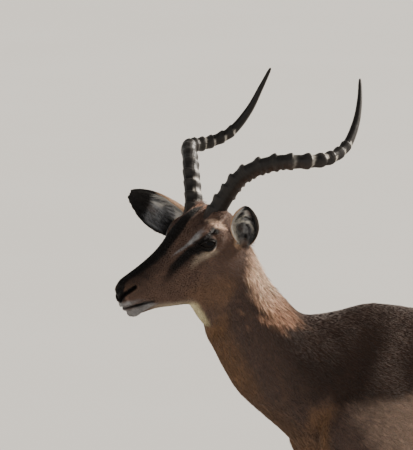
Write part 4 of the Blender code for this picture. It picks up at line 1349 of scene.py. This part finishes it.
# Each ring is drawn from toe to heel: its width swells by |sin| to a small power and is flat on the
# cleft's side; the wall leans back as it rises and the sole's edge is worn round.
def makeHoof(toe, heel, out, outward, name):
    level = np.linspace(0, 1, 34)[:, None]
    angle = fullTurn(56)
    z = hoof["coronet"] * level
    back = np.interp(level, hoof["levels"], hoof["lean"])
    wide = np.interp(level, hoof["levels"], hoof["swell"])
    band = 0.0006 * bell(level - 0.93, 0.06)
    band = band + 0.00016 * np.sin(level * 44) * ramp(0.02, 0.2, level) * ramp(0.9, 0.75, level)
    alongIt = 0.5 - 0.5 * np.cos(angle)
    swell = hoof["width"] * wide * np.minimum(1.0, 0.42 + 0.75 * alongIt**0.6)
    width = swell * np.abs(np.sin(angle)) ** 0.55 + band
    x = toe + back + (heel - toe - back) * alongIt - band * np.cos(angle)
    y = out + outward * np.where(np.sin(angle) > 0, 0.0, width)
    rings = np.stack((x, y, z + 0 * angle), axis=2)
    points, quads, triangles = closedTube(rings)
    mesh = newMesh("hoof", setDown(points), quads, triangles)
    outwards(mesh)
    newPiece(f"{name}_shell", mesh, hoofFinish, [name])


for kind in legSections:
    for side, word in bothSides:
        row = legRows(kind, side)[-2]
        toe = row[0] - 0.012
        for outward, spot in ((-side, "inner"), (side, "outer")):
            middle = row[4] + outward * hoof["cleft"] / 2
            makeHoof(toe, toe + hoof["length"], middle, outward, f"{kind}hoof_{word}_{spot}")
print("hooves")

# ---- the coat of tufts
coat = {
    "cover": 1.15,  # how many times the tufts would cover the skin, lying flat
    "thick": 0.24,  # of a tuft's width
    "most": 48000,  # tufts in one piece
    "patch": 0.003,  # of the unwrap that a tuft takes
    "long": 0.0125,  # length from which a tuft bends
}
skinMesh.calc_loop_triangles()
tris = readRows(skinMesh.loop_triangles, "vertices", 3, np.int32)


def spinePlace(points):  # place along the body's line of middles from nose to tail, and its way there
    rows = smoothRows(bodyRows(), 60)
    middle = (rows[:, 0:2] + rows[:, 2:4]) / 2
    way = unit(np.gradient(middle, axis=0))
    flat = points[:, [0, 2]]
    away = np.linalg.norm(flat[:, None, :] - middle[None, :, :], axis=2)
    near = np.argsort(away, axis=1)[:, :2]
    weight = 1 / (np.take_along_axis(away, near, axis=1) + 1e-4)
    weight = weight / weight.sum(axis=1, keepdims=True)
    share = (near * weight).sum(axis=1) / (len(rows) - 1)
    return share, unit((way[near] * weight[..., None]).sum(axis=1)), middle[near[:, 0]]


def legShare(points):  # 1 on the legs and 0 on the body
    x, _, z = points.T
    fore = ramp(0.74, 0.58, z) * ramp(0.16, 0.1, x)
    hind = ramp(0.8, 0.58, z) * ramp(0.34, 0.44, x)
    return np.maximum(fore, hind) * (x < 0.7)


# The hair runs from the nose back over head, neck and trunk, down the legs and the tail, out along the
# ears, and round the eyes. It is laid flat on the skin.
def lieOfCoat(points, normals):
    x, y, _ = points.T
    _, way, _ = spinePlace(points)
    lie = np.stack((way[:, 0], np.zeros(len(x)), way[:, 1]), axis=1)
    head = ramp(-0.02, 0.03, headAhead(points))
    lie[:, 2] -= 0.3 * (1 - head) * (1 - np.abs(normals[:, 2]))
    leg = legShare(points)[:, None]
    lie = lie * (1 - leg) + np.array((0.05, 0.0, -1.0)) * leg
    tail = (x > 0.69)[:, None] & (np.abs(y) < 0.04)[:, None]
    lie = np.where(tail, np.array((0.12, 0.0, -1.0)), lie)
    for side in (-1, 1):
        _, axis, _, across, _ = earFrame(side)
        u, v, outside = earPlace(points, side)
        own = (earWall(u, outside, -0.02, 0.12) * (y * side > 0))[:, None]
        inner = (outside < 0)[:, None]
        fan = axis + across * np.where(inner, -0.9 * v[:, None], 0.35 * v[:, None])
        lie = lie * (1 - own) + fan * own
        _, ahead, distance, inside = eyePlace(points, side)
        around = (bell(inside, 0.35) * (distance < 0.034) * (ahead > 0))[:, None]
        middle = eyeFrame(side)[0]
        lie = unit(lie) + around * unit(points - middle) * 1.2
    swirl = np.stack([waves(points, 0.035, 20 + k) for k in range(3)], axis=1)
    lie = unit(lie) + 0.11 * swirl
    lie -= (lie * normals).sum(axis=1, keepdims=True) * normals
    return unit(lie)


def coatSizes(points, normals):  # length, width in mm and lift in degrees of the tufts, and their cover
    x, y, z = points.T
    out = np.abs(y)
    face = toFace(points)
    head = ramp(-0.03, 0.03, headAhead(points))
    length = np.full(len(x), 9.5)
    mane = shaggy(points, normals)
    length += 2.5 * ramp(0.3, 0.7, -normals[:, 2]) * ramp(0.4, 0.54, z)
    leg = legShare(points)
    length = length * (1 - leg) + (4.0 + 5.0 * ramp(0.25, 0.62, z)) * leg
    length *= 1 - 0.35 * ramp(0.12, 0.05, z)
    short = 5.8 - 2.8 * ramp(0.06, 0.17, face[:, 0]) + 2.5 * ramp(0.03, -0.01, face[:, 0])
    length = length * (1 - head) + short * head
    length += 7.0 * mane
    width = np.interp(length, (2.8, 5, 10, 16), (0.6, 0.8, 1.3, 1.35))
    lift = np.interp(length, (3, 6, 10, 16), (5, 5, 4, 7)) + 13 * mane
    cover = coat["cover"] * (1 - 0.3 * leg)
    crown, _ = alongStops(face, ((0.004, 0.0, 0.006), (0.0, 0.02, 0.002)))
    tuft = ramp(0.032, 0.016, crown)
    length += 2.5 * tuft
    lift += 8 * tuft
    tail = (x > 0.69) & (out < 0.04)
    length = np.where(tail, 24.0, length)
    width = np.where(tail, 1.6, width)
    lift = np.where(tail, 10.0, lift)
    cover = np.where(tail, 3.5, cover)
    for side in (-1, 1):
        own = y * side > 0.01
        for kind, stops, reach, long in (
            ("hind", ((0.674, 0.176), (0.674, 0.128)), 0.013, 15.0),
            ("hind", ((0.668, 0.098), (0.655, 0.074)), 0.01, 9.0),
            ("fore", ((0.015, 0.098), (0.008, 0.074)), 0.009, 8.0),
        ):
            spot = np.stack((x - stepBack(points, kind, side), z), axis=1)
            away, _ = alongStops(spot, stops)
            near = own * ramp(reach, reach * 0.6, away)
            length = length * (1 - near) + long * near
            lift = lift + 12 * near
            cover = cover + 1.0 * near
        u, v, outside = earPlace(points, side)
        ear = earWall(u, outside, 0.02, 0.14) * own
        inner = ear * (outside < 0)
        length = length * (1 - ear) + 4.2 * ear * (1 - 0.5 * ramp(0.75, 0.98, u))
        width = width * (1 - ear) + 0.75 * ear
        fringe = inner * ramp(0.1, 0.35, np.abs(v)) * ramp(0.98, 0.8, np.abs(v)) * ramp(0.8, 0.66, u)
        length = length + fringe * 9.0
        lift = lift + fringe * 16
        cover = cover * (1 - 0.75 * inner * (1 - fringe)) * (1 - 0.25 * fringe)
        _, ahead, distance, inside = eyePlace(points, side)
        gap = np.where((distance < 0.034) & (ahead > 0), -inside * eye["radius"] * 1000, 99)
        length = np.minimum(length, np.clip(1.6 + 0.55 * gap, 1.4, 99))
        width = np.minimum(width, np.clip(0.45 + 0.1 * gap, 0.4, 99))
        cover = np.where(gap < 1.2, 0, cover)
    cover = cover * (1 - ramp(0.15, 0.5, bareShare(points)))
    cover = np.where(z < 0.047, 0, cover)
    return length, width, lift, cover


def scatterRoots(rng):  # points spread over the skin so that the tufts cover it evenly
    length, width, _, cover = coatSizes(straight, straightNormals)
    need = cover / (0.5 * length * width) * 1e6
    corners = straight[tris]
    first, second = corners[:, 1] - corners[:, 0], corners[:, 2] - corners[:, 0]
    area = 0.5 * np.linalg.norm(np.cross(first, second), axis=1)
    weight = np.cumsum(area * need[tris].mean(axis=1))
    total = int(weight[-1])
    chosen = np.searchsorted(weight, np.sort(rng.uniform(0, weight[-1], total)))
    chosen = np.clip(chosen, 0, len(tris) - 1)
    a, b = rng.uniform(size=(2, total))
    flip = a + b > 1
    a, b = np.where(flip, 1 - a, a), np.where(flip, 1 - b, b)
    mix = np.stack((1 - a - b, a, b), axis=1)[..., None]
    points = (straight[tris[chosen]] * mix).sum(axis=1)
    normals = unit((straightNormals[tris[chosen]] * mix).sum(axis=1))
    return points, normals


def regionOf(points):  # the name of the coat piece that each root belongs to
    x, y, z = points.T
    side = np.where(y < 0, "left", "right")
    names = np.where(x < 0.27, "fore_trunk", "rear_trunk").astype("U16")
    names = np.where(x + 0.45 * (z - 0.85) < -0.115, "neck", names)
    names = np.where(headAhead(points) > 0, "head", names)
    names = np.where(onEar(points) > 0.2, "ear", names)
    low = (z < 0.56) & (legShare(points) > 0.9)
    names = np.where(low, np.where(x < 0.3, "foreleg", "hindleg"), names)
    names = np.where((x > 0.69) & (np.abs(y) < 0.04), "tail", names)
    return np.char.add(np.char.add(names, "_"), side)


def unwrapOf(points, name):  # place from 0 to 1 on the region rolled off flat
    if name.startswith("ear"):
        side = -1 if name.endswith("left") else 1
        u, v, outside = earPlace(points, side)
        across = 0.25 + 0.22 * np.clip(v, -1.1, 1.1) + 0.5 * (outside < 0)
        return np.stack((across, np.clip(u, 0, 1.05) * 0.9), axis=1)
    x, y, z = points.T
    if "leg" in name or name.startswith("tail"):
        middle = np.median(y)
        centre = np.interp(z, np.linspace(z.min(), z.max(), 24), sliceMiddles(x, z))
        return np.stack((np.arctan2(y - middle, x - centre) / (2 * math.pi) + 0.5, z / 0.9), axis=1)
    share, _, middle = spinePlace(points)
    turn = np.arctan2(np.abs(y), z - middle[:, 1] + (x - middle[:, 0]) * 0.3) / math.pi
    low, high = share.min(), share.max()
    return np.stack(((share - low) / (high - low), turn), axis=1)


def sliceMiddles(x, z):  # mean x of the points in 24 slices of height
    slot = np.clip(((z - z.min()) / max(np.ptp(z), 1e-6) * 24).astype(int), 0, 23)
    count = np.bincount(slot, minlength=24)
    return np.bincount(slot, x, 24) / np.maximum(count, 1)


# A short tuft is a long pyramid lying on its side: two root corners, a raised root ridge and the tip.
# A long one has a middle triangle as well and bends back towards the skin.
def tuftMesh(roots, normals, lies, length, width, lift, colour, spots, long):
    across = np.cross(normals, lies)
    half, thick = width[:, None] / 2, width[:, None] * coat["thick"]
    reach, raised = length[:, None], (length * np.sin(lift))[:, None]
    base = roots - normals * 0.0004
    left, right, ridge = base - across * half, base + across * half, base + normals * (thick + 0.0004)
    if long:
        bend = roots + lies * reach * 0.52 + normals * raised * 0.62
        layers = (
            left, right, ridge,
            bend - across * half * 0.72, bend + across * half * 0.72, bend + normals * thick * 0.8,
            roots + lies * reach * 0.97 + normals * raised * 0.8,
        )
        faces = (
            (0, 2, 1), (0, 3, 5), (0, 5, 2), (2, 5, 4), (2, 4, 1),
            (1, 4, 3), (1, 3, 0), (3, 6, 5), (5, 6, 4), (4, 6, 3),
        )
        offsets = ((0, 0), (1, 0), (0.5, 0.05), (0.1, 0.55), (0.9, 0.55), (0.5, 0.55), (0.5, 1))
        # Each corner's colour times its shade: darker at the root as painted shade among the hairs, lighter
        # at the tip as the hairs' paler ends.
        shades = (0.74, 0.74, 0.82, 0.98, 0.98, 1.02, 1.16)
    else:
        tip = roots + lies * reach + normals * raised
        layers = (left, right, ridge, tip)
        faces = ((0, 2, 1), (0, 3, 2), (2, 3, 1), (1, 3, 0))
        offsets = ((0, 0), (1, 0), (0.5, 0.2), (0.5, 1))
        # Darker at the root as painted shade among the hairs, lighter at the tip as the hairs' paler ends.
        shades = (0.8, 0.8, 0.9, 1.14)
    count, each = len(roots), len(layers)
    points = np.stack(layers, axis=1)
    faces = (np.arange(count)[:, None, None] * each + np.array(faces)[None]).reshape(-1, 3)
    tint = colour[:, None, :] * np.array(shades)[None, :, None]
    flat = spots[:, None, :] + np.array(offsets)[None] * coat["patch"]
    owner = np.repeat(np.arange(count), each)
    return points.reshape(-1, 3), faces, tint.reshape(-1, 3), flat.reshape(-1, 2), owner


def growCoat():  # tufts over the whole skin, in pieces; returns their number
    rng = np.random.default_rng(5)
    roots, normals = scatterRoots(rng)
    count = len(roots)
    lies = lieOfCoat(roots, normals)
    length, width, lift, _ = coatSizes(roots, normals)
    across = np.cross(normals, lies)
    lies = unit(lies + across * rng.normal(0, 0.16, count)[:, None])
    length = length * mm * np.clip(rng.normal(1, 0.22, count), 0.5, 1.7)
    width = width * mm * np.clip(rng.normal(1, 0.2, count), 0.6, 1.5)
    lift = np.radians(np.clip(lift * rng.normal(1, 0.38, count), 1.5, 45))
    # Each tuft's tone differs at random, much more on the shaggy hair, where the bright tufts are painted
    # glints of sunlight.
    uneven = rng.normal(0, 1, count) * (0.09 + 0.32 * shaggy(roots, normals))
    colour = coatColour(roots, normals) * (1 + uneven)[:, None]
    colour = np.clip(colour * (1 + rng.normal(0, 0.03, (count, 3))), 0.002, 0.9)
    tufts = (roots, normals, lies, length, width, lift, colour)
    rigid, names = onEar(roots), regionOf(roots)
    for name in sorted(set(names)):
        where = np.nonzero(names == name)[0]
        parts = -(-len(where) // coat["most"])
        spots = unwrapOf(roots[where], str(name)) * (1 - coat["patch"] * 1.2)
        spots = np.clip(spots, 0, 1 - coat["patch"] * 1.1)
        for part in range(parts):
            own = where[part::parts]
            title = f"coat_{name}" + (f"_{part + 1}" if parts > 1 else "")
            growPiece(title, [values[own] for values in tufts], spots[part::parts], rigid[own])
    return count


def growPiece(name, tufts, spots, rigid):  # its short tufts, then its long ones, as one mesh
    sets, start = [], 0
    for long in (False, True):
        pick = (tufts[3] > coat["long"]) == long
        if not pick.any():
            continue
        points, faces, tint, unwrap, owner = tuftMesh(*(values[pick] for values in tufts), spots[pick], long)
        sets.append((setDown(points, rigid[pick][owner]), faces + start, tint, unwrap))
        start += len(points)
    points, faces, tint, unwrap = (np.concatenate(part) for part in zip(*sets))
    mesh = newMesh(name, points, faces)
    setColour(mesh, tint)
    setUnwrap(mesh, "OFBake", unwrap[faces.ravel()])
    newPiece(name, mesh, lockFinish, smooth=False)


print("coat:", growCoat(), "tufts")

# ---- floor, lights and camera
studio = {
    "key": {"from": (2.55, 0.5, 1.4), "angle": 12, "power": 9.0, "colour": "fff6ea"},  # behind the animal
    "fill": {"from": (-2.45, -4.2, 1.0), "angle": 16, "power": 0.35, "colour": "eef3ff"},
    "floor": ("cbc9c5", "d1d0cd"),
    "sky": "eae8e4",
    "horizon": 1.25,
    "zenith": 0.42,
}


def paleFloor():
    bpy.ops.mesh.primitive_plane_add(size=600, location=(0, 0, 0))
    floor = bpy.context.object
    floor.name = "floor"
    material, tree, shader, where = newMaterial("pale matt floor", Roughness=0.9)
    cloud = addNode(tree, "TexNoise", {"Vector": where, "Scale": 0.8, "Detail": 2.0}).outputs["Fac"]
    colours = {0: cloud, 6: colourOf(studio["floor"][0]), 7: colourOf(studio["floor"][1])}
    shade = addNode(tree, "Mix", colours, data_type="RGBA").outputs[2]
    tree.links.new(shade, shader.inputs["Base Color"])
    floor.data.materials.append(material)


def addLight(name):  # a distant soft light that shines from a direction
    facts = studio[name]
    light = bpy.data.lights.new(name, "SUN")
    light.angle = math.radians(facts["angle"])
    light.energy = facts["power"]
    light.color = linear(facts["colour"])
    lamp = bpy.data.objects.new(name, light)
    lamp.location = facts["from"]
    lamp.rotation_euler = (-Vector(facts["from"])).to_track_quat("-Z", "Y").to_euler()
    bpy.context.scene.collection.objects.link(lamp)


def paleRoom():  # light from all round, brightest near the horizon so that it meets the floor
    world = bpy.data.worlds.new("studio")
    bpy.context.scene.world = world
    world.use_nodes = True
    tree = world.node_tree
    way = addNode(tree, "TexCoord").outputs["Generated"]
    height = addNode(tree, "SeparateXYZ", {"Vector": way}).outputs["Z"]
    limits = {"From Max": 0.45, "To Min": studio["horizon"], "To Max": studio["zenith"]}
    strength = addNode(tree, "MapRange", {"Value": height, **limits}, interpolation_type="SMOOTHSTEP")
    background = tree.nodes["Background"]
    background.inputs["Color"].default_value = colourOf(studio["sky"])
    tree.links.new(strength.outputs["Result"], background.inputs["Strength"])


view = {
    "target": (-0.4275, -0.044, 1.0625),
    "azimuth": math.radians(-16),  # from the animal's left side, turned towards its head
    "height": math.radians(6),
    "distance": 12.0,
    "frame": 0.765,  # metres from the picture's top to its bottom, at the target
}


def addCamera():
    azimuth, height = view["azimuth"], view["height"]
    back = Vector(
        (math.sin(azimuth) * math.cos(height), -math.cos(azimuth) * math.cos(height), math.sin(height))
    )
    data = bpy.data.cameras.new("camera")
    data.sensor_width = 36
    data.lens = data.sensor_width * view["distance"] / view["frame"]
    camera = bpy.data.objects.new("camera", data)
    camera.location = Vector(view["target"]) + back * view["distance"]
    camera.rotation_euler = (-back).to_track_quat("-Z", "Y").to_euler()
    bpy.context.scene.collection.objects.link(camera)
    bpy.context.scene.camera = camera


paleFloor()
addLight("key")
addLight("fill")
paleRoom()
addCamera()
